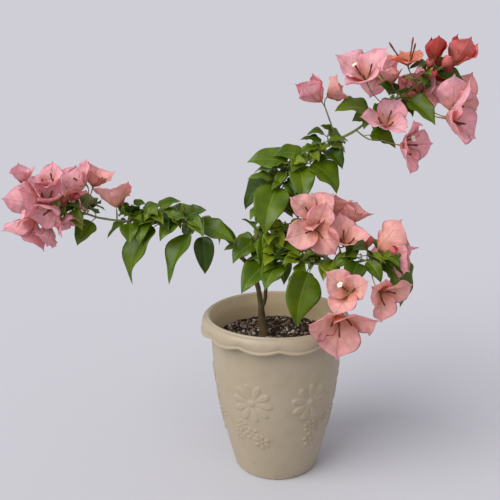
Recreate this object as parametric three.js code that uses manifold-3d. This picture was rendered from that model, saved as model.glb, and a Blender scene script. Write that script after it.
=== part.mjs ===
// A potted bougainvillea in flower, in millimetres, +Z up.
// The origin is the middle of the pot's flat underside; -Y is the side the plant shows best.
// The pot is moulded plastic with a lobed collar; the soil fills it to below the lip.
// One trunk forks into two stems; boughs run left, to the upper right, and forward to the right.
// Leaf and blossom masses grow on the boughs' ends by one rule with seeded draws.

import * as THREE from 'three';
import { mergeVertices } from 'three/addons/utils/BufferGeometryUtils.js';
import Module from 'manifold-3d';

const wasm = await Module();
wasm.setup();

// Pot and soil
const POT_HEIGHT = 197;
const POT_FOOT_RADIUS = 51.5;
const POT_NECK_RADIUS = 79.5;
const POT_NECK_HEIGHT = 185;
const POT_BULGE = 1.9;
const POT_WALL = 2.4;
const POT_FLOOR = 3.2;
const POT_SIDES = 48;
const COLLAR_RADIUS = 92.3;
const COLLAR_DEPTH = 19;
const LOBES = 12;
const LOBE_LIFT = 3.5;
const LOBE_INSET = 2;
const SOIL_SIDES = 24;
const SOIL_LEVEL = 160;
const SOIL_BANK = 5;
const SOIL_FLAT_RADIUS = 30;
const SOIL_LUMP = 0.9;

// Fit and blades
const GAP = 0.3;
const STALK = 0.2;
const LEAF_WIDTH = 0.62;
const LEAF_THICKNESS = 0.02;
const LEAF_FOLD = 18;
const BRACT_WIDTH = 0.74;
const BRACT_THICKNESS = 0.025;
const BRACT_FOLD = 16;
const BRACT_ROOT = 1.3;
const TUBE_LENGTH = 0.42;
const TUBE_RADIUS = 1.3;
const PEDICEL_RADIUS = 0.7;
const PEDICEL_KNOB = 2.8;
const STALK_RADIUS = 0.8;
const LEAF_STATIONS = [0, STALK, 0.4, 0.7, 1];
const BRACT_STATIONS = [0, 0.3, 0.68, 1];
const TUBES_SHOW = 0.6;

// Plain colours
const COLOURS = {
  pot: 0xb9a691, soil: 0x3a322c, bark: 0x6e6150, shoot: 0x7c8447,
  leaf: 0x567a26, blossom: 0xdd8f8c,
};

const rad = THREE.MathUtils.degToRad;
const point = ([x, y, z]) => new THREE.Vector3(x, y, z);

// Same draws each time: a multiplying sequence from a whole-number seed
function draws(seed) {
  let state = (seed * 7919) % 2147483647;
  return (low, high) => {
    state = (state * 16807) % 2147483647;
    return low + ((high - low) * state) / 2147483647;
  };
}

// Unit vector from a compass heading (0 is +X, 90 is +Y) and a rise, in degrees
function toward(heading, rise) {
  const h = rad(heading);
  const r = rad(rise);
  return new THREE.Vector3(Math.cos(r) * Math.cos(h), Math.cos(r) * Math.sin(h), Math.sin(r));
}

// Closed triangle mesh to solid, faces turned outwards
function toSolid(geometry) {
  const bare = geometry.clone();
  bare.deleteAttribute('normal');
  bare.deleteAttribute('uv');
  const merged = mergeVertices(bare, 1e-3);
  const corners = merged.getAttribute('position').array;
  const kept = [];
  const index = merged.index.array;
  for (let i = 0; i < index.length; i += 3) {
    const [a, b, c] = [index[i], index[i + 1], index[i + 2]];
    if (a !== b && b !== c && c !== a) kept.push(a, b, c);
  }
  if (volume(corners, kept) < 0) kept.reverse();
  return new wasm.Manifold(new wasm.Mesh({
    numProp: 3,
    vertProperties: new Float32Array(corners),
    triVerts: new Uint32Array(kept),
  }));
}

function volume(corners, triangles) {
  const [a, b, c] = [new THREE.Vector3(), new THREE.Vector3(), new THREE.Vector3()];
  let total = 0;
  for (let i = 0; i < triangles.length; i += 3) {
    a.fromArray(corners, triangles[i] * 3);
    b.fromArray(corners, triangles[i + 1] * 3);
    c.fromArray(corners, triangles[i + 2] * 3);
    total += a.dot(b.cross(c)) / 6;
  }
  return total;
}

// The largest shell of a solid, as a geometry: sealed hollows are filled and scraps dropped
function largestShell(solid) {
  const mesh = solid.getMesh();
  const corners = mesh.vertProperties;
  const triangles = mesh.triVerts;
  const root = Array.from({ length: corners.length / 3 }, (_, i) => i);
  const find = (i) => {
    while (root[i] !== i) {
      root[i] = root[root[i]];
      i = root[i];
    }
    return i;
  };
  for (let i = 0; i < triangles.length; i += 3) {
    root[find(triangles[i])] = find(triangles[i + 1]);
    root[find(triangles[i + 2])] = find(triangles[i + 1]);
  }
  const shells = new Map();
  for (let i = 0; i < triangles.length; i += 3) {
    const key = find(triangles[i]);
    if (!shells.has(key)) shells.set(key, []);
    shells.get(key).push(triangles[i], triangles[i + 1], triangles[i + 2]);
  }
  const sizes = [...shells.values()].map((shell) => [volume(corners, shell), shell]);
  const largest = sizes.sort((a, b) => b[0] - a[0])[0][1];
  const geometry = new THREE.BufferGeometry();
  geometry.setAttribute('position', new THREE.BufferAttribute(new Float32Array(corners), 3));
  geometry.setIndex(Array.from(largest));
  return geometry;
}

const joined = (solids) => solids.reduce((all, one) => all.add(one));

// A limb: a round rod bent along its curve, with its radius given along its length
function rod(curve, radiusAt, sides, steps) {
  const geometry = new THREE.CylinderGeometry(1, 1, 1, sides, steps);
  const frames = curve.computeFrenetFrames(steps);
  const corners = geometry.getAttribute('position');
  for (let i = 0; i < corners.count; i++) {
    const u = corners.getY(i) + 0.5;
    const k = Math.round(u * steps);
    const r = radiusAt(u);
    const p = curve.getPointAt(u)
      .addScaledVector(frames.binormals[k], corners.getX(i) * r)
      .addScaledVector(frames.normals[k], corners.getZ(i) * r);
    corners.setXYZ(i, p.x, p.y, p.z);
  }
  return toSolid(geometry);
}

const guide = (points) => new THREE.CatmullRomCurve3(points.map(point), false, 'catmullrom', 0.5);

function limb(points, startRadius, endRadius, { sides = 8, steps = 8, flare = 0 } = {}) {
  const curve = guide(points);
  const radiusAt = (u) => startRadius + (endRadius - startRadius) * u + flare * (1 - u) ** 6;
  const solid = rod(curve, radiusAt, sides, steps);
  return { curve, radiusAt, solid, sides, steps };
}

// The room that a limb keeps to itself: the limb grown by the gap on its sides and ends
function roomOf({ curve, radiusAt, sides, steps }) {
  const first = curve.getPointAt(0).addScaledVector(curve.getTangentAt(0), -GAP);
  const last = curve.getPointAt(1).addScaledVector(curve.getTangentAt(1), GAP);
  const longer = new THREE.CatmullRomCurve3(
    [first, ...curve.points.slice(1, -1), last], false, 'catmullrom', 0.5);
  return rod(longer, (u) => radiusAt(u) + GAP * 1.15, sides, steps);
}

// A thin blade: a four-sided spindle pressed flat, with a ring at each station along its arc
function blade(stations, frameAt, halfWidthAt, thicknessAt, fold) {
  const geometry = new THREE.SphereGeometry(1, 4, stations.length - 1);
  const corners = geometry.getAttribute('position');
  const [rise, run] = [Math.sin(rad(fold)), Math.cos(rad(fold))];
  for (let i = 0; i < corners.count; i++) {
    const angle = Math.acos(THREE.MathUtils.clamp(corners.getY(i), -1, 1));
    const s = stations[Math.round((angle / Math.PI) * (stations.length - 1))];
    const ring = Math.sin(angle) || 1;
    const across = Math.round(corners.getX(i) / ring);
    const through = Math.round(corners.getZ(i) / ring);
    const { at, side, up } = frameAt(s);
    const p = at.clone()
      .addScaledVector(side, across * halfWidthAt(s) * run)
      .addScaledVector(up, Math.abs(across) * halfWidthAt(s) * rise + (through * thicknessAt(s)) / 2);
    corners.setXYZ(i, p.x, p.y, p.z);
  }
  return toSolid(geometry);
}

// Outlines, as the half width from base to tip: an egg shape drawn out to a point
const leafOutline = (s) => (s ** 0.62 * (1 - s) ** 0.9) / 0.3626;
const bractOutline = (s) => (s ** 0.75 * (1 - s) ** 0.75) / 0.3536;

// Point and direction along an arc of one bend, from angle `from` by `turn`,
// in the plane of `ahead` and `beside`
function arc(start, ahead, beside, from, turn, length, s) {
  const now = from + turn * s;
  const along = Math.abs(turn) < 1e-6 ? Math.cos(from) * s : (Math.sin(now) - Math.sin(from)) / turn;
  const off = Math.abs(turn) < 1e-6 ? Math.sin(from) * s : (Math.cos(from) - Math.cos(now)) / turn;
  return {
    at: start.clone().addScaledVector(ahead, along * length).addScaledVector(beside, off * length),
    going: ahead.clone().multiplyScalar(Math.cos(now)).addScaledVector(beside, Math.sin(now)),
  };
}

// A leaf hangs from `start`: its tip lies `reach` away along heading and hang, it arches under its
// own weight, and its face is turned about that line. The first fifth of the arc is its stalk.
function leafFrame(start, heading, hang, reach, turn, arch) {
  const level = toward(heading, 0);
  const up = new THREE.Vector3(0, 0, 1);
  const bend = rad(arch);
  const length = (reach * bend) / 2 / Math.sin(bend / 2);
  const across = toward(heading + 90, 0);
  const face = toward(heading, hang).cross(across);
  const side = across.clone().multiplyScalar(Math.cos(rad(turn))).addScaledVector(face, Math.sin(rad(turn)));
  return (s) => {
    const { at, going } = arc(start, level, up, rad(hang) + bend / 2, -bend, length, s);
    const square = side.clone().addScaledVector(going, -side.dot(going)).normalize();
    return { at, going, side: square, up: going.clone().cross(square) };
  };
}

function leafParts(start, heading, hang, reach, turn, arch) {
  const frameAt = leafFrame(start, heading, hang, reach, turn, arch);
  const size = reach * (1 - STALK);
  const onBlade = (s) => (s - STALK) / (1 - STALK);
  const half = (s) => (s > STALK ? (size * LEAF_WIDTH * leafOutline(onBlade(s))) / 2 : STALK_RADIUS);
  const thick = (s) => (s > STALK ? size * LEAF_THICKNESS + 0.2 : 2 * STALK_RADIUS);
  return {
    samples: [0.35, 0.6, 0.85, 1].map((s) => frameAt(s).at),
    solids: () => [blade(LEAF_STATIONS, frameAt, half, thick, LEAF_FOLD)],
  };
}

// Three bracts round an axis; `open` runs from 0, a closed cup, to 1, spread flat.
// Each bract carries one flower tube on its midrib.
function bractFrame(centre, axis, around, open, size) {
  const root = centre.clone().addScaledVector(around, BRACT_ROOT);
  const from = rad(40 + 22 * open);
  const turn = rad(-52 + 88 * open);
  const side = axis.clone().cross(around);
  return (s) => {
    const { at, going } = arc(root, axis, around, from, turn, size, s);
    return { at, going, side, up: going.clone().cross(side) };
  };
}

function triadParts(start, row, draw) {
  const [, heading, rise, reach, faceHeading, faceRise, size, open, spin] = row;
  const centre = start.clone().addScaledVector(toward(heading, rise), reach);
  const axis = toward(faceHeading, faceRise);
  const aside = toward(faceHeading + 90, 0);
  const third = axis.clone().cross(aside);
  const bracts = [0, 120, 240].map((step) => {
    const angle = rad(spin + step + draw(-9, 9));
    const around = aside.clone().multiplyScalar(Math.cos(angle)).addScaledVector(third, Math.sin(angle));
    const own = size * draw(0.92, 1.06);
    return { around, own, frameAt: bractFrame(centre, axis, around, open, own) };
  });
  const bow = centre.clone().addScaledVector(axis, -0.4 * reach);
  const pedicel = new THREE.QuadraticBezierCurve3(start, bow, centre.clone().addScaledVector(axis, 0.6));
  const pedicelRadius = (u) => PEDICEL_RADIUS + PEDICEL_KNOB * u ** 8;
  return {
    samples: bracts.flatMap(({ frameAt }) => [0.4, 0.75, 1].map((s) => frameAt(s).at)),
    solids: () => [
      rod(pedicel, pedicelRadius, 3, 2),
      ...bracts.map(({ own, frameAt }) => blade(BRACT_STATIONS, frameAt,
        (s) => (own * BRACT_WIDTH * bractOutline(s)) / 2, () => own * BRACT_THICKNESS, BRACT_FOLD)),
      ...(open < TUBES_SHOW ? [] : bracts)
        .map(({ around, own }) => flowerTube(centre, axis, around, own, open)),
    ],
  };
}

function flowerTube(centre, axis, around, size, open) {
  const lean = rad(18 + 24 * open);
  const going = axis.clone().multiplyScalar(Math.cos(lean)).addScaledVector(around, Math.sin(lean));
  const length = size * TUBE_LENGTH;
  const cone = new THREE.ConeGeometry(TUBE_RADIUS, length, 3, 1);
  cone.rotateX(Math.PI).translate(0, length / 2, 0);
  cone.applyQuaternion(new THREE.Quaternion().setFromUnitVectors(new THREE.Vector3(0, 1, 0), going));
  cone.translate(centre.x, centre.y, centre.z);
  return toSolid(cone);
}

// Limbs. Guide points run from root to tip.
const trunk = limb(
  [[-15, 14, SOIL_LEVEL + GAP], [-15, 14, 167], [-17, 14, 184], [-18, 13, 202]], 4.7, 4, { flare: 2.4 });
const leftStem = limb([[-18, 13, 201], [-21, 12, 222], [-25, 11, 238], [-30, 9, 253]], 3.2, 2.8);
const rightStem = limb([[-17, 13, 198], [-13, 11, 210], [-11, 8, 235], [-4, 2, 262]], 2.3, 1.9);
const leftBough = limb([[-29, 9, 251], [-44, 5, 268], [-58, 3, 288], [-85, 1, 301]], 2.7, 2);
const leftShoot = limb([[-174, -5, 312], [-190, -6, 314], [-206, -7, 317]], 1.4, 1.2, { steps: 4 });
const upperBough = limb([[-29, 9, 251], [-25, 11, 272], [-18, 12, 298], [-11, 13, 320]], 2.5, 2.1);
const upperShoot = limb([[67, 20, 399.5], [90, 21, 410], [110, 22, 424]], 1.6, 1.4, { steps: 5 });
const rightShoot = limb([[54.5, -54.8, 271], [67, -61, 273], [79, -66, 276]], 1.5, 1.3, { steps: 4 });

const limbs = {
  trunk, left_stem: leftStem, right_stem: rightStem, left_bough: leftBough, left_shoot: leftShoot,
  upper_bough: upperBough, upper_shoot: upperShoot, right_shoot: rightShoot,
};
const rootedOn = {
  left_stem: ['trunk'], right_stem: ['trunk', 'left_stem'], left_bough: ['left_stem'],
  upper_bough: ['left_stem', 'left_bough'],
};

// Masses of leaves and blossom. Each has one stem, from the limb it grows on.
// A leaf row says: place along the stem, heading, hang, reach and turn of its face.
// A triad row says: place along the stem, heading, rise and reach of its stalk, then the heading and
// rise that it faces, its bracts' length, how open it is and its turn. Young leaves come from the
// draws alone.
const masses = {
  left_leaves: {
    from: ['left_bough', 'left_shoot'], stem: [[-85, 1, 301], [-109, -1, 310], [-135, -3, 316],
      [-157, -4, 315], [-174, -5, 312]], radius: [1.9, 1.5], seed: 11, young: 6, space: 95,
    leaves: [
      [0.05, -60, -80, 57, 30], [0.07, -135, -54, 76, 5], [0.07, 15, -25, 53, 50],
      [0.17, -22, -18, 60, 40], [0.17, 110, -50, 31, 40], [0.25, -130, -24, 41, -20],
      [0.25, -30, 26, 38, 60], [0.3, 105, 22, 35, -10], [0.42, -155, -58, 89, -20],
      [0.55, -55, -22, 33, 25], [0.62, 120, 3, 33, 0], [0.68, -100, -45, 38, 5],
      [0.93, -85, -35, 37, 5], [0.98, -55, 36, 36, 0],
    ],
    triads: [],
  },
  left_sprig: {
    from: ['left_shoot'], stem: [[-185, -6, 314], [-184, -9, 320], [-183, -13, 327]],
    radius: [0.9, 0.8], seed: 12, young: 0, space: 60, leaves: [],
    triads: [[1, 100, 60, 3, 110, 66, 34, 0.45, 0]],
  },
  left_blossom: {
    from: ['left_shoot'], stem: [[-206, -7, 317], [-228, -9, 325], [-259, -12, 333]],
    radius: [1.2, 0.9], seed: 13, young: 2, space: 90,
    leaves: [
      [0.75, -45, 11, 34, 0], [0.45, -125, 29, 29, 0], [0.05, -130, -44, 41, -35],
      [0.05, -95, 34, 28, -30], [0.3, 80, 10, 40, 0],
    ],
    triads: [
      [1, -175, 43, 37, -90, 84, 25, 0.3, 0], [1, -55, 61, 27, -100, 60, 30, 0.5, 90],
      [0.5, -5, 70, 33, -145, 42, 32, 0.5, 75], [0.35, 62, 60, 33, -15, 68, 30, 0.35, 60],
      [1, -90, 24, 20, -160, 6, 40, 0.4, 30], [1, -170, -31, 23, -160, -60, 40, 0.45, 60],
      [0.93, -115, -66, 23, -145, -58, 30, 0.3, 0], [1, -80, 15, 25, -55, 58, 30, 0.3, 30],
      [0.7, -80, -6, 20, -55, -60, 22, 0.4, 0], [0.88, -70, 9, 26, -130, -33, 36, 0.5, 60],
      [0.78, 100, 15, 34, 90, 18, 36, 0.8, 0], [1, 135, -3, 36, 130, 12, 36, 0.6, 0],
    ],
  },
  crown_leaves: {
    from: ['upper_bough', 'upper_shoot'],
    stem: [[-11, 13, 320], [9, 14, 356], [35, 17, 379], [67, 20, 399.5]],
    radius: [2, 1.7], seed: 21, young: 8, space: 95,
    leaves: [
      [0.55, 177, 5, 60, -45], [0.7, -178, 4, 42, -45], [0.34, 165, -38, 62, -60],
      [0.3, -115, -48, 73, -20], [0.85, -150, -10, 28, -30], [0.88, -55, -32, 41, 25],
      [0.57, -85, -43, 56, 0], [0.62, -30, -37, 57, 30], [0.15, -45, -22, 42, 30],
      [0.33, -60, -32, 32, 30], [0.45, 115, 4, 27, -15], [0.9, 175, 15, 30, -35],
      [0.1, 100, -35, 55, 0], [0.5, 70, -30, 50, 0], [0.75, 100, -25, 45, 0], [0.3, 130, 5, 45, 0],
    ],
    triads: [],
  },
  upper_sprig: {
    from: ['upper_shoot'], stem: [[70, 20, 401], [67, 17, 412], [57, 13, 437]],
    radius: [0.9, 0.8], seed: 22, young: 0, space: 70,
    leaves: [[0.25, -155, 31, 24, -45]],
    triads: [[1, -150, 55, 10, -158, 46, 38, 0.15, 90], [1, 70, 62, 15, -7, 32, 28, 0.3, 0]],
  },
  low_sprig: {
    from: ['upper_shoot'], stem: [[94, 20, 412], [106, 8, 403], [120, -6, 402]],
    radius: [0.9, 0.8], seed: 23, young: 0, space: 70,
    leaves: [[0.3, -25, -20, 40, 35]],
    triads: [[1, -20, -14, 20, -42, -2, 41, 0.55, 0]],
  },
  upper_blossom: {
    from: ['upper_shoot'], stem: [[110, 22, 424], [135, 22, 443], [163, 20, 463], [187, 22, 482]],
    radius: [1.4, 0.9], seed: 24, young: 2, space: 100,
    leaves: [
      [0.1, -155, 6, 58, -45], [0.08, -165, -12, 30, 60], [0.45, -125, 2, 36, 0],
      [0.45, -40, -37, 54, 30], [0.8, -120, 20, 26, -60], [0.85, 0, -20, 48, 40],
      [0.8, 20, 32, 40, 35], [0.42, 165, 30, 30, -40],
    ],
    triads: [
      [0.25, -135, 35, 52, -115, 45, 41, 0.55, 35], [0.7, 160, 52, 24, -120, 72, 28, 0.75, 80],
      [0.97, -148, 43, 10, -90, 84, 31, 0.05, 30], [1, 15, 4, 16, -11, 62, 38, 0.15, 60],
      [0.82, 68, -6, 17, 0, 32, 29, 0.3, 60], [0.68, 70, -30, 24, -125, 20, 36, 0.5, 30],
      [0.5, -20, -20, 56, 80, 64, 42, 0.3, 90], [0.45, -35, -24, 58, -35, 2, 47, 0.6, 330],
      [0.1, -86, -17, 39, -90, 51, 34, 0.75, 60], [0.45, 166, 52, 18, -135, 82, 22, 0.3, 0],
      [0.38, 120, 42, 41, 96, 18, 35, 0.7, 30], [0.75, 58, -21, 38, 77, 12, 40, 0.7, 60],
      [0.88, 22, -40, 46, 49, 18, 36, 0.5, 0],
    ],
  },
  mid_leaves: {
    from: ['upper_bough'], stem: [[-25, 11, 272], [-14, 5, 285], [0, -2, 295], [16, -10, 304]],
    radius: [1.2, 1], seed: 31, young: 4, space: 70,
    leaves: [
      [0.28, -165, 50, 40, 0], [0.26, -145, -24, 47, -30], [0.53, -42, -16, 50, 30],
      [0.75, -35, -45, 35, 35], [0.5, 100, -20, 40, 0],
    ],
    triads: [],
  },
  mid_blossom: {
    from: ['mid_leaves'], stem: [[16, -10, 304], [30, -18, 309], [46, -25, 311]],
    radius: [1, 0.9], seed: 32, young: 0, space: 90, leaves: [],
    triads: [
      [0.93, -95, -1, 24, -96, 6, 36, 0.9, 190], [0.9, -106, 55, 12, -106, 39, 34, 0.6, 40],
      [1, 47, 13, 28, 45, 82, 34, 0.5, 60], [1, -45, -27, 42, -80, 58, 37, 0.45, 95],
      [1, 0, 2, 39, 0, 69, 28, 0.4, 0], [1, -32, -46, 41, -90, -72, 22, 0.2, 0],
      [1, 50, -17, 37, 84, 12, 38, 0.7, 30],
    ],
  },
  right_leaves: {
    from: ['right_stem', 'right_shoot'],
    stem: [[-4, 2, 262], [8, -12, 267], [26, -28, 268], [54.5, -54.8, 271]],
    radius: [1.8, 1.6], seed: 45, young: 6, space: 80,
    leaves: [
      [0.05, -135, -27, 63, -20], [0.33, -125, -35, 49, -20], [0.28, 75, -70, 39, 0],
      [0.85, -125, -60, 74, -55], [0.82, 175, -83, 58, 75], [0.55, -135, 12, 34, -40],
      [0.78, -82, 30, 36, 40], [0.1, 80, -10, 50, 0], [0.4, 45, -5, 48, 0], [0.7, 35, -20, 45, 0],
    ],
    triads: [],
  },
  hanging_sprig: {
    from: ['right_shoot'], stem: [[58, -57, 271.5], [58, -74, 266], [60, -88, 251]],
    radius: [0.9, 0.8], seed: 42, young: 0, space: 75, leaves: [],
    triads: [[1, -70, -72, 25, -90, -31, 50, 0.6, 30], [0.6, -62, -20, 30, -111, 25, 32, 0.6, 20]],
  },
  right_blossom: {
    from: ['right_shoot'], stem: [[79, -66, 276], [95, -70, 280], [112, -72, 284]],
    radius: [1.3, 1], seed: 43, young: 1, space: 85,
    leaves: [
      [0.03, -120, 44, 34, -110], [0.65, -135, 24, 40, -40], [0.28, -115, -29, 41, -20],
      [0.97, -35, -37, 29, 25], [0.75, -10, -53, 38, 50], [1, 25, -68, 66, 80],
    ],
    triads: [
      [0.88, 115, 70, 10, 28, 4, 42, 0.6, 105], [1, 77, -2, 14, -21, -19, 38, 0.3, 60],
      [0.6, -82, -38, 42, -65, -12, 33, 0.7, 25], [1, 69, -24, 35, 63, 6, 36, 0.6, 0],
    ],
  },
};

// A leaf or triad is kept if it stays in its mass's space and clear of pot and limbs
const POT_CLEARANCE = 4;
const LIMB_CLEARANCE = 3;
function keeps(samples, stemPoints, space, otherLimbs) {
  return samples.every((p) => {
    const inSpace = stemPoints.some((q) => q.distanceTo(p) < space);
    const overPot = p.z > POT_HEIGHT + POT_CLEARANCE || Math.hypot(p.x, p.y) > COLLAR_RADIUS + POT_CLEARANCE;
    const offLimbs = otherLimbs.every((q) => q.distanceTo(p) > LIMB_CLEARANCE);
    return inSpace && overPot && offLimbs;
  });
}

const limbSamples = Object.fromEntries(
  Object.entries(limbs).map(([name, { curve }]) => [name, curve.getSpacedPoints(24)]));

// Young leaves stand alternately left and right of the stem, small and still raised
function youngRow(k, stem, draw) {
  const at = draw(0.08, 0.95);
  const along = stem.getTangent(at);
  const heading = THREE.MathUtils.radToDeg(Math.atan2(along.y, along.x)) + (k % 2 ? 1 : -1) * draw(45, 115);
  return [at, heading, draw(-15, 45), draw(13, 24), draw(-30, 30)];
}

function grow({ from, stem, radius, seed, young, space, leaves, triads }) {
  const draw = draws(seed);
  const curve = guide(stem);
  const stemLimb = limb(stem, radius[0], radius[1], { sides: 5, steps: 2 * (stem.length - 1) });
  const otherLimbs = Object.entries(limbSamples).filter(([name]) => !from.includes(name))
    .flatMap(([, points]) => points);
  const stemPoints = curve.getSpacedPoints(10);
  const rows = [...leaves];
  for (let k = 0; k < young; k++) rows.push(youngRow(k, curve, draw));
  const organs = rows.map(([at, heading, hang, reach, turn]) => leafParts(curve.getPoint(at),
    heading, hang, reach, turn + draw(-8, 8), draw(35, 75)));
  for (const row of triads) organs.push(triadParts(curve.getPoint(row[0]), row, draw));
  const kept = organs.filter(({ samples }) => keeps(samples, stemPoints, space, otherLimbs));
  return { stemLimb, solid: joined([stemLimb.solid, ...kept.flatMap(({ solids }) => solids())]) };
}

// Pot: one wall turned about Z, then its collar pressed into lobes
const bodyRadius = (z) => POT_FOOT_RADIUS
  + (POT_NECK_RADIUS - POT_FOOT_RADIUS) * (1 - (1 - z / POT_NECK_HEIGHT) ** POT_BULGE);

function potGeometry() {
  const top = POT_HEIGHT;
  const rim = COLLAR_RADIUS;
  const profile = [
    [0, 0], [POT_FOOT_RADIUS - 2.1, 0], [bodyRadius(3), 3],
    ...[38, 80, 130, 182].map((z) => [bodyRadius(z), z]),
    [bodyRadius(182) + 1.3, top - 10], [rim - 7.8, top - 7.5], [rim - 4.3, top - 10.5], [rim - 2.7, top - 17],
    [rim - 1.3, top - COLLAR_DEPTH], [rim, top - 17.4], [rim - 1.1, top - 14.5],
    [rim - 2.2, top - 7], [rim - 5.2, top - 1.8], [rim - 8.9, top], [rim - 11.7, top - 0.8],
    ...[182, 163, 80].map((z) => [bodyRadius(z) - POT_WALL, z]),
    [bodyRadius(POT_FLOOR) - POT_WALL, POT_FLOOR], [0, POT_FLOOR],
  ].map(([r, z]) => new THREE.Vector2(r, z));
  const geometry = new THREE.LatheGeometry(profile, POT_SIDES);
  geometry.rotateX(Math.PI / 2);
  const corners = geometry.getAttribute('position');
  for (let i = 0; i < corners.count; i++) {
    const [x, y, z] = [corners.getX(i), corners.getY(i), corners.getZ(i)];
    const r = Math.hypot(x, y);
    if (r < POT_NECK_RADIUS + 6 || z > top - 2) continue;
    const lobe = Math.abs(Math.sin((Math.atan2(x, -y) * LOBES) / 2));
    const low = THREE.MathUtils.clamp((top - 4 - z) / 12, 0, 1);
    const scale = (r - LOBE_INSET * (1 - lobe) * low) / r;
    corners.setXYZ(i, x * scale, y * scale, z + LOBE_LIFT * (1 - lobe) * low);
  }
  return geometry;
}

// Soil: fills the pot, banked up a little to the wall, level where the trunk stands
function soilGeometry() {
  const wall = (z) => bodyRadius(z) - POT_WALL - 1.4 * GAP;
  const edge = SOIL_LEVEL + SOIL_BANK;
  const profile = [
    [0, POT_FLOOR + GAP], [wall(POT_FLOOR) - 0.2, POT_FLOOR + GAP], [wall(80), 80], [wall(163), 163],
    [wall(163) - 1, edge], [60, SOIL_LEVEL + 0.7 * SOIL_BANK], [45, SOIL_LEVEL + 0.3 * SOIL_BANK],
    [SOIL_FLAT_RADIUS, SOIL_LEVEL], [0, SOIL_LEVEL],
  ].map(([r, z]) => new THREE.Vector2(r, z));
  const geometry = new THREE.LatheGeometry(profile, SOIL_SIDES);
  geometry.rotateX(Math.PI / 2);
  const corners = geometry.getAttribute('position');
  for (let i = 0; i < corners.count; i++) {
    const [x, y, z] = [corners.getX(i), corners.getY(i), corners.getZ(i)];
    const r = Math.hypot(x, y);
    if (z < SOIL_LEVEL + 0.5 || r > 74) continue;
    const angle = Math.round((Math.atan2(y, x) * SOIL_SIDES) / (2 * Math.PI));
    corners.setZ(i, z + SOIL_LUMP * Math.sin(angle * 2.4 + r) * Math.cos(angle * 1.1 + 0.2 * r));
  }
  return geometry;
}

// The object: one named mesh for each sub-part
const plant = new THREE.Group();

function place(name, geometry, colour, roughness = 0.7) {
  const material = new THREE.MeshStandardMaterial({ color: colour, roughness, metalness: 0 });
  const mesh = new THREE.Mesh(geometry, material);
  mesh.name = name;
  plant.add(mesh);
}

const rooms = Object.fromEntries(Object.entries(limbs).map(([name, one]) => [name, roomOf(one)]));

place('pot', largestShell(toSolid(potGeometry())), COLOURS.pot, 0.45);
place('soil', largestShell(toSolid(soilGeometry())), COLOURS.soil, 0.95);

for (const [name, { solid }] of Object.entries(limbs)) {
  const cut = (rootedOn[name] ?? []).reduce((rest, other) => rest.subtract(rooms[other]), solid);
  place(name, largestShell(cut), name.endsWith('shoot') ? COLOURS.shoot : COLOURS.bark, 0.8);
}

for (const [name, mass] of Object.entries(masses)) {
  const { stemLimb, solid } = grow(mass);
  const cut = mass.from.reduce((rest, other) => rest.subtract(rooms[other]), solid);
  rooms[name] = roomOf(stemLimb);
  place(name, largestShell(cut), mass.triads.length ? COLOURS.blossom : COLOURS.leaf, 0.6);
}

export default plant;
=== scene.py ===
# A young bougainvillea in flower, in a moulded plastic pot, dressed on its solid model.
# Blender 4.5, metres, +Z up. The origin is the middle of the pot's flat underside and -Y is its front.
# It goes together as it grew: pot, potting mix, wood, green stems, leaves, then blossom.
# Sizes are written in millimetres and become metres where a mesh gets its points.

import math

import bmesh
import bpy
from mathutils import Matrix, Vector, noise


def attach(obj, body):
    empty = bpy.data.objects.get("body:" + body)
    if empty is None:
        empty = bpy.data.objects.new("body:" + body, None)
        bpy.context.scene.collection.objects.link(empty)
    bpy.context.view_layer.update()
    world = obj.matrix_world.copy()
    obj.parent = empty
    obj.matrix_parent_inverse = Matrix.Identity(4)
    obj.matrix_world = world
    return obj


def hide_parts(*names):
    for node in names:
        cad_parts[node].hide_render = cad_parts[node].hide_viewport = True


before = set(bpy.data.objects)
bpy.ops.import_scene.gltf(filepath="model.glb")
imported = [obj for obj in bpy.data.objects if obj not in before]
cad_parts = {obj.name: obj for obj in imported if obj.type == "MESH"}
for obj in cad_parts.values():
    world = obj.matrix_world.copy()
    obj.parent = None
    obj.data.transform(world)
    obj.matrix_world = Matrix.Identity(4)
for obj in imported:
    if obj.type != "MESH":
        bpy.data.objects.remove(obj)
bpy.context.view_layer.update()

MM = 0.001
UP = Vector((0, 0, 1))


# The studio: a plain pale floor in a pale room, under one broad soft light from the upper left. The floor
# is as much darker than the room as that light makes up for, so it fades into the room at the horizon.
# The camera has a 45 mm lens and stands 0.72 m in front, looking 14 degrees down.

LENS = 45
LOOK_DOWN = 14.03
ROLL = -0.57
CAMERA_PLACE = (-30.9, -718.4, 454.5)
FLOOR_HALF_WIDTH = 60
ROOM_COLOUR = "cfced6"
LIGHT_FROM = (-0.62, -0.45, 0.64)
LIGHT_SHARE = 0.86
LIGHT_SPREAD = 50


def tint(code):
    """An sRGB hex colour as linear light."""
    shares = [int(code[i:i + 2], 16) / 255 for i in (0, 2, 4)]
    return (*[c / 12.92 if c <= 0.04045 else ((c + 0.055) / 1.055) ** 2.4 for c in shares], 1)


def feed(tree, node, inputs):
    """Give a node's inputs their values, or link them to other nodes' outputs."""
    for key, value in inputs.items():
        if isinstance(value, bpy.types.NodeSocket):
            tree.links.new(value, node.inputs[key])
        else:
            node.inputs[key].default_value = value
    return node


def add(tree, kind, inputs, **settings):
    """Add a node with its settings, inputs and links."""
    node = tree.nodes.new("ShaderNode" + kind)
    for name, value in settings.items():
        setattr(node, name, value)
    return feed(tree, node, inputs)


def begin_material(name):
    """A new material, its node tree and its Principled shader."""
    made = bpy.data.materials.new(name)
    made.use_nodes = True
    return made, made.node_tree, made.node_tree.nodes["Principled BSDF"]


def to_object(name, shape, *materials):
    """Turn a bmesh into an object at the origin, smooth shaded, with its materials."""
    mesh = bpy.data.meshes.new(name)
    for face in shape.faces:
        face.smooth = True
    shape.to_mesh(mesh)
    shape.free()
    for material in materials:
        mesh.materials.append(material)
    made = bpy.data.objects.new(name, mesh)
    bpy.context.scene.collection.objects.link(made)
    return made


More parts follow.
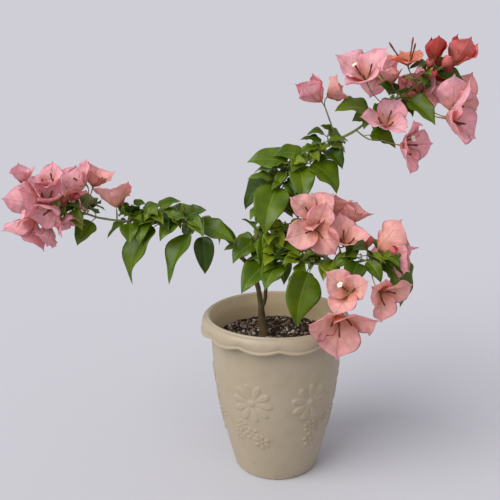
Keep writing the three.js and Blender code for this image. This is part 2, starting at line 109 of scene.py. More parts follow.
# Laminate floor: plain, matt and pale
light_from = Vector(LIGHT_FROM).normalized()
floor_tone = [tone / (tone + LIGHT_SHARE * light_from.z) for tone in tint(ROOM_COLOUR)[:3]]
laminate, tree, skin = begin_material("laminate_matt_pale")
feed(tree, skin, {"Base Color": (*floor_tone, 1), "Roughness": 1, "Specular IOR Level": 0})
floor = bmesh.new()
bmesh.ops.create_grid(floor, x_segments=1, y_segments=1, size=FLOOR_HALF_WIDTH)
to_object("floor", floor, laminate)

room = bpy.data.worlds.new("pale_room")
room.use_nodes = True
feed(room.node_tree, room.node_tree.nodes["Background"], {"Color": tint(ROOM_COLOUR), "Strength": 1})
bpy.context.scene.world = room
bpy.context.scene.view_settings.view_transform = "Standard"

window = bpy.data.lights.new("window", "SUN")
window.energy = LIGHT_SHARE * math.pi
window.angle = math.radians(LIGHT_SPREAD)
lamp = bpy.data.objects.new("window", window)
lamp.rotation_euler = (-light_from).to_track_quat("-Z", "Y").to_euler()
bpy.context.scene.collection.objects.link(lamp)

lens = bpy.data.cameras.new("camera")
lens.lens = LENS
camera = bpy.data.objects.new("camera", lens)
aim = Matrix.Rotation(math.radians(90 - LOOK_DOWN), 4, "X") @ Matrix.Rotation(math.radians(ROLL), 4, "Z")
camera.matrix_world = Matrix.Translation(Vector(CAMERA_PLACE) * MM) @ aim
bpy.context.scene.collection.objects.link(camera)
bpy.context.scene.camera = camera


# The pot: one injection moulding in beige polypropylene, with a rolled collar of twelve lobes and
# daisies raised on its wall. Its outline is turned about Z, then the collar is pressed into lobes and
# the daisies are lifted out of the wall.

POT_HEIGHT = 197
FOOT_RADIUS = 51.5
NECK_RADIUS = 79.5
NECK_HEIGHT = 185
BULGE = 1.9
WALL = 2.4
WALL_TOP = 182
POT_FLOOR = 3.2
COLLAR_RADIUS = 92.3
COLLAR_STEPS = 76
RIM_WIDTH = 10.3
LOBES = 12
LOBE_LIFT = 3.5
LOBE_INSET = 2
LOBE_BELOW_TOP = 2
LOBE_PAST_NECK = 6
LOBE_FULL_BELOW_TOP = 16
LOBE_FADE = 12
# The wall's rows stand closer where it carries the daisies: from, to and step
FINE_ROWS = (42, 142, 1.05)
COARSE_ROW = 3.2
TURNS = 400
DAISY_PLACES = (-24.6, 30, 88, 148, 208, 272)
DAISY_HEIGHT = 111
DAISY_REACH = 40


def wall_radius(z):
    """Outer radius of the pot's wall at a height."""
    return FOOT_RADIUS + (NECK_RADIUS - FOOT_RADIUS) * (1 - (1 - z / NECK_HEIGHT) ** BULGE)


def guide(points):
    """A smooth curve through points, as a function of 0 to 1 with even steps from point to point."""
    points = [Vector(p) for p in points]
    ends = [2 * points[0] - points[1], *points, 2 * points[-1] - points[-2]]
    last = len(points) - 2

    def at(t):
        k = min(int((last + 1) * t), last)
        w = (last + 1) * t - k
        a, b, c, d = ends[k:k + 4]
        lean_in = (c - a) / 2
        lean_out = (d - b) / 2
        return b + lean_in * w + (3 * (c - b) - 2 * lean_in - lean_out) * w ** 2 + (
            2 * (b - c) + lean_in + lean_out) * w ** 3

    return at


def pot_outline():
    """The pot's section, as radius and height, from the middle of its underside round to its inside."""
    top = POT_HEIGHT
    rim = COLLAR_RADIUS
    foot = [(0, 1.4), (44, 1.4), (45.2, 0.3), (46.5, 0), (FOOT_RADIUS - 2.4, 0), (FOOT_RADIUS - 1.1, 0.35)]
    foot += [(FOOT_RADIUS - 0.2, 1.2), (wall_radius(2.4) + 0.05, 2.4)]
    heights = []
    for low, high, step in ((3, FINE_ROWS[0], COARSE_ROW), FINE_ROWS, (FINE_ROWS[1], WALL_TOP, COARSE_ROW)):
        rows = round((high - low) / step)
        heights += [low + (high - low) * k / rows for k in range(rows)]
    wall = [(wall_radius(z), z) for z in [*heights, WALL_TOP]]
    neck = wall_radius(WALL_TOP)
    collar = guide([
        (neck, WALL_TOP), (neck + 1.3, top - 10), (rim - 7.8, top - 7.5),
        (rim - 4.3, top - 10.5), (rim - 2.9, top - 16.6), (rim - 2.1, top - 18.6), (rim - 0.9, top - 18.9),
        (rim - 0.1, top - 17.8), (rim - 0.3, top - 16.2), (rim - 1.5, top - 15.2), (rim - 1.3, top - 12.5),
        (rim - 1.9, top - 8), (rim - 3.9, top - 3.6), (rim - 6.4, top - 1.5), (rim - 7.5, top - 1.3),
        (rim - 8.3, top - 0.2), (rim - 9.7, top), (rim - 10.9, top - 0.7), (rim - 12, top - 3),
        (neck - WALL, WALL_TOP),
    ])
    bends = [(p.x, p.y) for p in (collar((k + 1) / COLLAR_STEPS) for k in range(COLLAR_STEPS))]
    inside = [(wall_radius(z) - WALL, z) for z in (176, 170, 163, 150, 120, 80, 40, POT_FLOOR)]
    return foot + wall + bends + inside + [(0, POT_FLOOR)]


def smooth(low, high, value):
    """A soft step from 0 to 1 between two values."""
    share = min(max((value - low) / (high - low), 0), 1)
    return share * share * (3 - 2 * share)


def daisy(across, up, radius, petals, turn):
    """How far a daisy is raised, 0 to 1, at a place beside its middle."""
    distance = math.hypot(across, up)
    if distance >= radius:
        return 0
    sector = 2 * math.pi / petals
    off = (math.atan2(up, across) - turn) % sector - sector / 2
    along = (distance * math.cos(off) / radius - 0.14) / 0.86
    aside = abs(distance * math.sin(off))
    middle = 1.1 * smooth(0.21 * radius, 0.1 * radius, distance)
    if along <= 0:
        return middle
    half = 2.5 / petals * radius * along ** 0.75 * max(1 - along ** 5, 0) ** 0.5
    pad = smooth(0, max(1.2, 0.09 * radius), half - aside) * smooth(-0.1, 0.5, along)
    groove = 0.55 * math.exp(-((aside / (0.05 * radius)) ** 2)) * smooth(0.9, 0.55, along)
    return max(middle, pad * (1 - groove))


def turn_about_z(outline, steps):
    """A closed shape turned about Z from its outline, which starts and ends on the axis."""
    shape = bmesh.new()
    ring = [shape.verts.new((r * MM, 0, z * MM)) for r, z in outline]
    edges = [shape.edges.new(pair) for pair in zip(ring, ring[1:])]
    bmesh.ops.spin(shape, geom=ring + edges, axis=UP, cent=(0, 0, 0), dvec=(0, 0, 0),
                   angle=2 * math.pi, steps=steps, use_merge=True, use_duplicate=False)
    bmesh.ops.remove_doubles(shape, verts=shape.verts, dist=0.02 * MM)
    bmesh.ops.recalc_face_normals(shape, faces=shape.faces)
    return shape


# Two groups take turns round the pot. Each is its relief, then for each daisy how far it lies across and
# up from the large one, its radius, petals and turn. The second stands prouder.
DAISY_GROUPS = (
    (1.05, ((0, 0, 25, 10, 0.2), (-16, -34, 8, 6, 0.1), (-19, -47, 7.5, 5, 0.6), (-2, -43, 9, 6, 0.4),
            (9, -53, 9.5, 6, 0))),
    (1.55, ((0, 0, 24.5, 9, 0.5), (2, -34, 8, 6, 0.2), (13, -34, 7.5, 5, 0.5), (25, -31, 7.5, 6, 0),
            (6, -53, 11, 6, 0.3))),
)

moulding = turn_about_z(pot_outline(), TURNS)
for vert in moulding.verts:
    x, y, z = vert.co / MM
    r = math.hypot(x, y)
    angle = math.degrees(math.atan2(x, -y))
    if r > NECK_RADIUS + LOBE_PAST_NECK and z < POT_HEIGHT - LOBE_BELOW_TOP:
        lobe = math.sqrt(math.sin(math.radians(angle) * LOBES / 2) ** 2 + 0.004)
        low = min(max((POT_HEIGHT - LOBE_FULL_BELOW_TOP + LOBE_FADE - z) / LOBE_FADE, 0), 1)
        scale = (r - LOBE_INSET * (1 - lobe) * low) / r
        vert.co = Vector((x * scale, y * scale, z + LOBE_LIFT * (1 - lobe) * low)) * MM
    elif FINE_ROWS[0] < z < FINE_ROWS[1] and r > wall_radius(z) - 0.5:
        for k, place in enumerate(DAISY_PLACES):
            across = math.radians((angle - place + 180) % 360 - 180) * r
            if abs(across) > DAISY_REACH:
                continue
            relief, group = DAISY_GROUPS[k % 2]
            lift = max(daisy(across - dx, z - DAISY_HEIGHT - dz, *shape) for dx, dz, *shape in group)
            scale = (r + relief * lift) / r
            vert.co = Vector((x * scale, y * scale, z)) * MM

# Faces on the inside of the pot take the second material, which is painted paler: painted light against the
# shade inside the pot.
for face in moulding.faces:
    middle = face.calc_center_median() / MM
    inside_painted_lighter = face.normal.xy.dot(middle.xy) < 0 and middle.xy.length < COLLAR_RADIUS - RIM_WIDTH
    face.material_index = inside_painted_lighter and middle.z > POT_FLOOR

# Injection-moulded polypropylene: even beige with a satin gloss, a little uneven where it has aged,
# with the fine tooth of the mould. A few specks of soil cling near the foot. Its inside is painted
# paler than the outside, a painted light that makes up for the shade inside the pot.
plastics = []
for name, darker, lighter, stain in (
    ("polypropylene_moulded_beige", "9c8e75", "ac9e87", "8f7f64"),
    ("polypropylene_inside_painted_light", "cbb98f", "d9c7a1", "baa67e"),
):
    plastic, tree, skin = begin_material(name)
    where = add(tree, "TexCoord", {}).outputs["Object"]
    clouds = add(tree, "TexNoise", {"Vector": where, "Scale": 1 / (55 * MM), "Detail": 3}).outputs["Fac"]
    beige = add(tree, "Mix", {0: clouds, 6: tint(darker), 7: tint(lighter)}, data_type="RGBA").outputs[2]
    specks = add(tree, "TexNoise", {"Vector": where, "Scale": 1 / (9 * MM), "Detail": 2}).outputs["Fac"]
    dirt = add(tree, "MapRange", {"Value": specks, "From Min": 0.71, "From Max": 0.76, "To Max": 0.5})
    height = add(tree, "SeparateXYZ", {0: where}).outputs["Z"]
    low = add(tree, "MapRange", {"Value": height, "From Min": 60 * MM, "From Max": 4 * MM, "To Min": 0.25})
    soft = add(tree, "TexNoise", {"Vector": where, "Scale": 1 / (16 * MM), "Detail": 4}).outputs["Fac"]
    worn = add(tree, "MapRange", {"Value": soft, "From Min": 0.48, "From Max": 0.75, "To Max": 0.28})
    beige = add(tree, "Mix", {0: worn.outputs[0], 6: beige, 7: tint(stain)}, data_type="RGBA").outputs[2]
    dusty = add(tree, "Math", {0: dirt.outputs[0], 1: low.outputs[0]}, operation="MULTIPLY").outputs[0]
    colour = add(tree, "Mix", {0: dusty, 6: beige, 7: tint("6b5a48")}, data_type="RGBA").outputs[2]
    tooth = add(tree, "TexNoise", {"Vector": where, "Scale": 1 / (0.9 * MM), "Detail": 2}).outputs["Fac"]
    grain = add(tree, "Bump", {"Height": tooth, "Strength": 0.12, "Distance": 0.15 * MM}).outputs[0]
    gloss = add(tree, "MapRange", {"Value": clouds, "To Min": 0.36, "To Max": 0.5}).outputs[0]
    feed(tree, skin, {"Base Color": colour, "Roughness": gloss, "Normal": grain, "IOR": 1.49})
    plastics.append(plastic)

pot = to_object("pot_moulding", moulding, *plastics)
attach(pot, "root")
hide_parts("pot")


# The potting mix: dark bark and peat crumbs with grey-brown and a few chalky bits, banked up a little
# to the wall. One turned bed fills the pot, and loose crumbs lie half sunk on it.

SOIL_LEVEL = 160
SOIL_BANK = 5
SOIL_FLAT_RADIUS = 30
SOIL_CLEARANCE = 0.42
SOIL_EDGE_HEIGHT = 163
BED_RINGS = 44
BED_TURNS = 132
BATCHES = 24
CRUMBS_IN_BATCH = 58
SMALLEST_CRUMB = 1
CRUMB_RANGE = 2.1
CRUMB_INSET = 3
# The draw from which a crumb is brown, grey-brown and chalky
CRUMB_KINDS_FROM = (0.27, 0.58, 0.9)
TRUNK_FOOT = (-15, 14)
TRUNK_CLEARANCE = 6
DRAW_STATES = 2147483647


def draws(seed):
    """Seeded draws between two values, the same each run."""
    state = (seed * 7919) % DRAW_STATES

    def draw(low, high):
        nonlocal state
        state = (state * 16807) % DRAW_STATES
        return low + (high - low) * state / DRAW_STATES

    return draw


def soil_height(r):
    """Level where the trunk stands, and banked up towards the wall."""
    bank = min(max((r - SOIL_FLAT_RADIUS) / (wall_radius(SOIL_EDGE_HEIGHT) - SOIL_FLAT_RADIUS), 0), 1)
    return SOIL_LEVEL + SOIL_BANK * bank ** 0.8


def lump(x, y):
    """The bed's own unevenness at a place, in millimetres."""
    return 1.3 * noise.noise(Vector((x / 9, y / 9, 3))) + 0.7 * noise.noise(Vector((x / 3.5, y / 3.5, 7)))


def join_in(whole, part):
    """Move a small shape into a large one, which is quicker than shaping it there."""
    mesh = bpy.data.meshes.new("part")
    part.to_mesh(mesh)
    part.free()
    whole.from_mesh(mesh)
    bpy.data.meshes.remove(mesh)


bed_edge = wall_radius(SOIL_EDGE_HEIGHT) - WALL - SOIL_CLEARANCE
bed_foot = POT_FLOOR + 0.3
outline = [(0, bed_foot)]
outline += [(wall_radius(z) - WALL - SOIL_CLEARANCE, z) for z in (bed_foot, 40, 80, 120, 150, 162)]
outline += [(bed_edge * k / BED_RINGS, soil_height(bed_edge * k / BED_RINGS))
            for k in range(BED_RINGS - 1, 0, -1)]
outline += [(0, SOIL_LEVEL)]
bed = turn_about_z(outline, BED_TURNS)
for vert in bed.verts:
    if vert.co.z > (SOIL_LEVEL - 0.5) * MM and vert.co.xy.length < (bed_edge - 1) * MM:
        vert.co.z += lump(vert.co.x / MM, vert.co.y / MM) * MM

draw = draws(7)
# The noise that shapes the crumbs shifts with its own seed, which would else come from the clock
noise.seed_set(7)
for _ in range(BATCHES):
    crumbs = bmesh.new()
    for _ in range(CRUMBS_IN_BATCH):
        r = (bed_edge - CRUMB_INSET) * math.sqrt(draw(0, 1))
        angle = draw(0, 2 * math.pi)
        x, y = r * math.cos(angle), r * math.sin(angle)
        size = SMALLEST_CRUMB + CRUMB_RANGE * draw(0, 1) ** 1.6
        flat = draw(0.5, 0.9)
        if math.hypot(x - TRUNK_FOOT[0], y - TRUNK_FOOT[1]) < TRUNK_CLEARANCE + size:
            continue
        place = Matrix.Translation(Vector((x, y, soil_height(r) + lump(x, y) + 0.3 * size)) * MM)
        turn = Matrix.Rotation(draw(0, 3), 4, "Z") @ Matrix.Rotation(draw(-0.6, 0.6), 4, "X")
        press = Matrix.Diagonal((1, draw(0.6, 1), flat, 1))
        crumb = bmesh.ops.create_icosphere(crumbs, subdivisions=2, radius=size * MM,
                                           matrix=place @ turn @ press)
        kind = draw(0, 1)
        skin_number = 1 + sum(kind > start for start in CRUMB_KINDS_FROM)
        spot = Vector((draw(0, 90), draw(0, 90), draw(0, 90)))
        for vert in crumb["verts"]:
            vert.co += noise.noise_vector(spot + vert.co / (1.5 * size * MM)) * (0.5 * size * MM)
            for face in vert.link_faces:
                face.material_index = skin_number
    join_in(bed, crumbs)

# Potting mix: damp peat and composted bark, broken and matt, so it drinks the light. The crumbs are
# dealt out in near-black, brown, grey-brown and chalky grey.
mixes = []
for name, code, lighter in (
    ("peat_damp", "211913", "372c21"), ("peat_crumb", "2a1f18", "43352b"),
    ("bark_chip_brown", "4d3b2d", "6b5644"), ("bark_chip_grey", "74665a", "948779"),
    ("perlite_dusty", "a59b8e", "c8c0b4"),
):
    mix, tree, skin = begin_material(name)
    where = add(tree, "TexCoord", {}).outputs["Object"]
    spots = add(tree, "TexNoise", {"Vector": where, "Scale": 1 / (3 * MM), "Detail": 4}).outputs["Fac"]
    colour = add(tree, "Mix", {0: spots, 6: tint(code), 7: tint(lighter)}, data_type="RGBA").outputs[2]
    fine = add(tree, "TexNoise", {"Vector": where, "Scale": 1 / (0.9 * MM), "Detail": 5}).outputs["Fac"]
    rough = add(tree, "Bump", {"Height": fine, "Strength": 0.7, "Distance": 0.5 * MM}).outputs[0]
    feed(tree, skin, {"Base Color": colour, "Roughness": 0.92, "Specular IOR Level": 0.2, "Normal": rough})
    mixes.append(mix)

potting_mix = to_object("potting_mix", bed, *mixes)
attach(potting_mix, "root")
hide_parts("soil")


# The wood: the trunk with its flare and lean, the two stems it forks into, and the two woody boughs.
# Grey-brown bark, ridged lengthwise, with raised rings where leaves have been shed.

LIMBS = {
    "trunk": ([(-15, 14, 160.3), (-15, 14, 167), (-17, 14, 184), (-18, 13, 202)], 4.7, 4),
    "left_stem": ([(-18, 13, 201), (-21, 12, 222), (-25, 11, 238), (-30, 9, 253)], 3.2, 2.8),
    "right_stem": ([(-17, 13, 198), (-13, 11, 210), (-11, 8, 235), (-4, 2, 262)], 2.3, 1.9),
    "left_bough": ([(-29, 9, 251), (-44, 5, 268), (-58, 3, 288), (-85, 1, 301)], 2.7, 2),
    "left_shoot": ([(-174, -5, 312), (-190, -6, 314), (-206, -7, 317)], 1.4, 1.2),
    "upper_bough": ([(-29, 9, 251), (-25, 11, 272), (-18, 12, 298), (-11, 13, 320)], 2.5, 2.1),
    "upper_shoot": ([(67, 20, 399.5), (90, 21, 410), (110, 22, 424)], 1.6, 1.4),
    "right_shoot": ([(54.5, -54.8, 271), (67, -61, 273), (79, -66, 276)], 1.5, 1.3),
}
WOODY = ("trunk", "left_stem", "right_stem", "left_bough", "upper_bough")
TRUNK_FLARE = 2.4
RING_SPACING = 13
RIDGE_RELIEF = 0.09
CRACK_RELIEF = 0.05
SCAR_RELIEF = 0.08
FORK_REACH = 2.5
BARK_ROW = 1.1
MEASURE_POINTS = 40
WOOD_SIDES = 28


def spaced(curve, count):
    """Points at equal distances along a curve, from end to end."""
    fine = [curve(k / 200) for k in range(201)]
    run = [0]
    for a, b in zip(fine, fine[1:]):
        run.append(run[-1] + (b - a).length)
    places = []
    k = 0
    for i in range(count + 1):
        goal = run[-1] * i / count
        while k < 199 and run[k + 1] < goal:
            k += 1
        share = (goal - run[k]) / (run[k + 1] - run[k])
        places.append(curve((k + min(max(share, 0), 1)) / 200))
    return places


def run_length(path):
    """The length of a path through points."""
    return sum((b - a).length for a, b in zip(path, path[1:]))


def rod(shape, path, radii, sides, index=0, relief=None):
    """A closed round rod through the points of a path: a net rolled round it and drawn shut at its ends.
    relief(row, angle) scales the radius where the rod isn't plain."""
    part = bmesh.new()
    rows = len(path) - 1
    goings = [(path[min(k + 1, rows)] - path[max(k - 1, 0)]).normalized() for k in range(rows + 1)]
    normals = [goings[0].orthogonal().normalized()]
    for before, after in zip(goings, goings[1:]):
        normals.append(before.rotation_difference(after) @ normals[-1])
    net = bmesh.ops.create_grid(part, x_segments=sides, y_segments=rows + 2, size=0.5)["verts"]
    for vert in net:
        row = round((vert.co.y + 0.5) * (rows + 2)) - 1
        k = min(max(row, 0), rows)
        angle = 2 * math.pi * ((vert.co.x + 0.5) % 1)
        radius = 0 if row != k else radii[k] * (relief(k, angle) if relief else 1)
        out = normals[k] * math.cos(angle) + goings[k].cross(normals[k]) * math.sin(angle)
        vert.co = (path[k] + out * radius) * MM
    bmesh.ops.remove_doubles(part, verts=part.verts, dist=0.005 * MM)
    bmesh.ops.recalc_face_normals(part, faces=part.faces)
    for face in part.faces:
        face.material_index = index
    join_in(shape, part)


def bark_relief(length, rows, seed):
    """Lengthwise ridges, and a raised ring at each old leaf scar."""
    def relief(k, angle):
        run = length * k / rows
        ridge = noise.noise(Vector((2.6 * math.cos(angle), 2.6 * math.sin(angle), run / 14 + seed)))
        crack = noise.noise(Vector((6 * math.cos(angle), 6 * math.sin(angle), run / 6 + seed)))
        scar = math.exp(-(((run + 4 * math.cos(angle + seed)) % RING_SPACING - 6) / 1.1) ** 2)
        return 1 + RIDGE_RELIEF * ridge + CRACK_RELIEF * crack + SCAR_RELIEF * scar
    return relief


wood = bmesh.new()
for seed, name in enumerate(WOODY):
    points, start_radius, end_radius = LIMBS[name]
    curve = guide(points)
    length = run_length(spaced(curve, MEASURE_POINTS))
    rows = round(length / BARK_ROW)
    path = spaced(curve, rows)
    path.append(path[-1] + (path[-1] - path[-2]).normalized() * FORK_REACH)
    flare = TRUNK_FLARE if name == "trunk" else 0
    radii = [start_radius + (end_radius - start_radius) * k / rows + flare * (1 - k / rows) ** 6
             for k in range(rows)]
    radii += [end_radius * 0.96, end_radius * 0.5]
    rod(wood, path, radii, WOOD_SIDES, name == "right_stem", bark_relief(length, rows, 10 * seed))

# Bougainvillea bark: thin and brown over a green underbark, which shows in streaks. Matt, with fine corky
# cracks a millimetre or so apart. The thin right stem is younger, darker and more red.
barks = []
for name, darker, lighter, under in (
    ("bark_corky_brown", "2d2318", "71603f", "5c5a34"), ("bark_young_russet", "35211a", "6b4a38", "5d5236"),
):
    bark, tree, skin = begin_material(name)
    where = add(tree, "TexCoord", {}).outputs["Object"]
    along = add(tree, "Mapping", {"Vector": where, "Scale": (1, 1, 0.3)}).outputs[0]
    streaks = add(tree, "TexNoise", {"Vector": along, "Scale": 1 / (4 * MM), "Detail": 5}).outputs["Fac"]
    brown = add(tree, "Mix", {0: streaks, 6: tint(darker), 7: tint(lighter)}, data_type="RGBA").outputs[2]
    patches = add(tree, "TexNoise", {"Vector": along, "Scale": 1 / (11 * MM), "Detail": 2}).outputs["Fac"]
    green = add(tree, "MapRange", {"Value": patches, "From Min": 0.45, "From Max": 0.7, "To Max": 0.45})
    colour = add(tree, "Mix", {0: green.outputs[0], 6: brown, 7: tint(under)}, data_type="RGBA").outputs[2]
    cracks = add(tree, "TexNoise", {"Vector": along, "Scale": 1 / (1.3 * MM), "Detail": 6}).outputs["Fac"]
    corky = add(tree, "Bump", {"Height": cracks, "Strength": 0.8, "Distance": 0.5 * MM}).outputs[0]
    feed(tree, skin, {"Base Color": colour, "Roughness": 0.82, "Specular IOR Level": 0.3, "Normal": corky})
    barks.append(bark)

limbs_piece = to_object("woody_limbs", wood, *barks)
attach(limbs_piece, "root")
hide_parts(*WOODY)


# How the plant grows: the masses of leaves and blossom, each on one stem from the limb that bears it.
# A leaf row says place along the stem, heading, hang, reach and turn of its face. A triad row says
# place, heading, rise and reach of its stalk, heading and rise that it faces, its bracts' length, how
# open it is and its turn. The draws then settle each leaf's arch and each bract's own size.

STALK = 0.2
BRACT_ROOT = 1.3
POT_CLEARANCE = 4
LIMB_CLEARANCE = 3
LIMB_POINTS = 24
STEM_POINTS = 10
STEM_ROWS = 8
# Places along a leaf and a bract that have to have room
LEAF_TESTS = (0.35, 0.6, 0.85, 1)
BRACT_TESTS = (0.4, 0.75, 1)
BUD_TESTS = (0.4, 1)
TWIG_SEED = 500
TWIG_ROWS = 8
TWIG_LEAVES = 5
# The number that buds have instead of a triad row's
BUD = -1

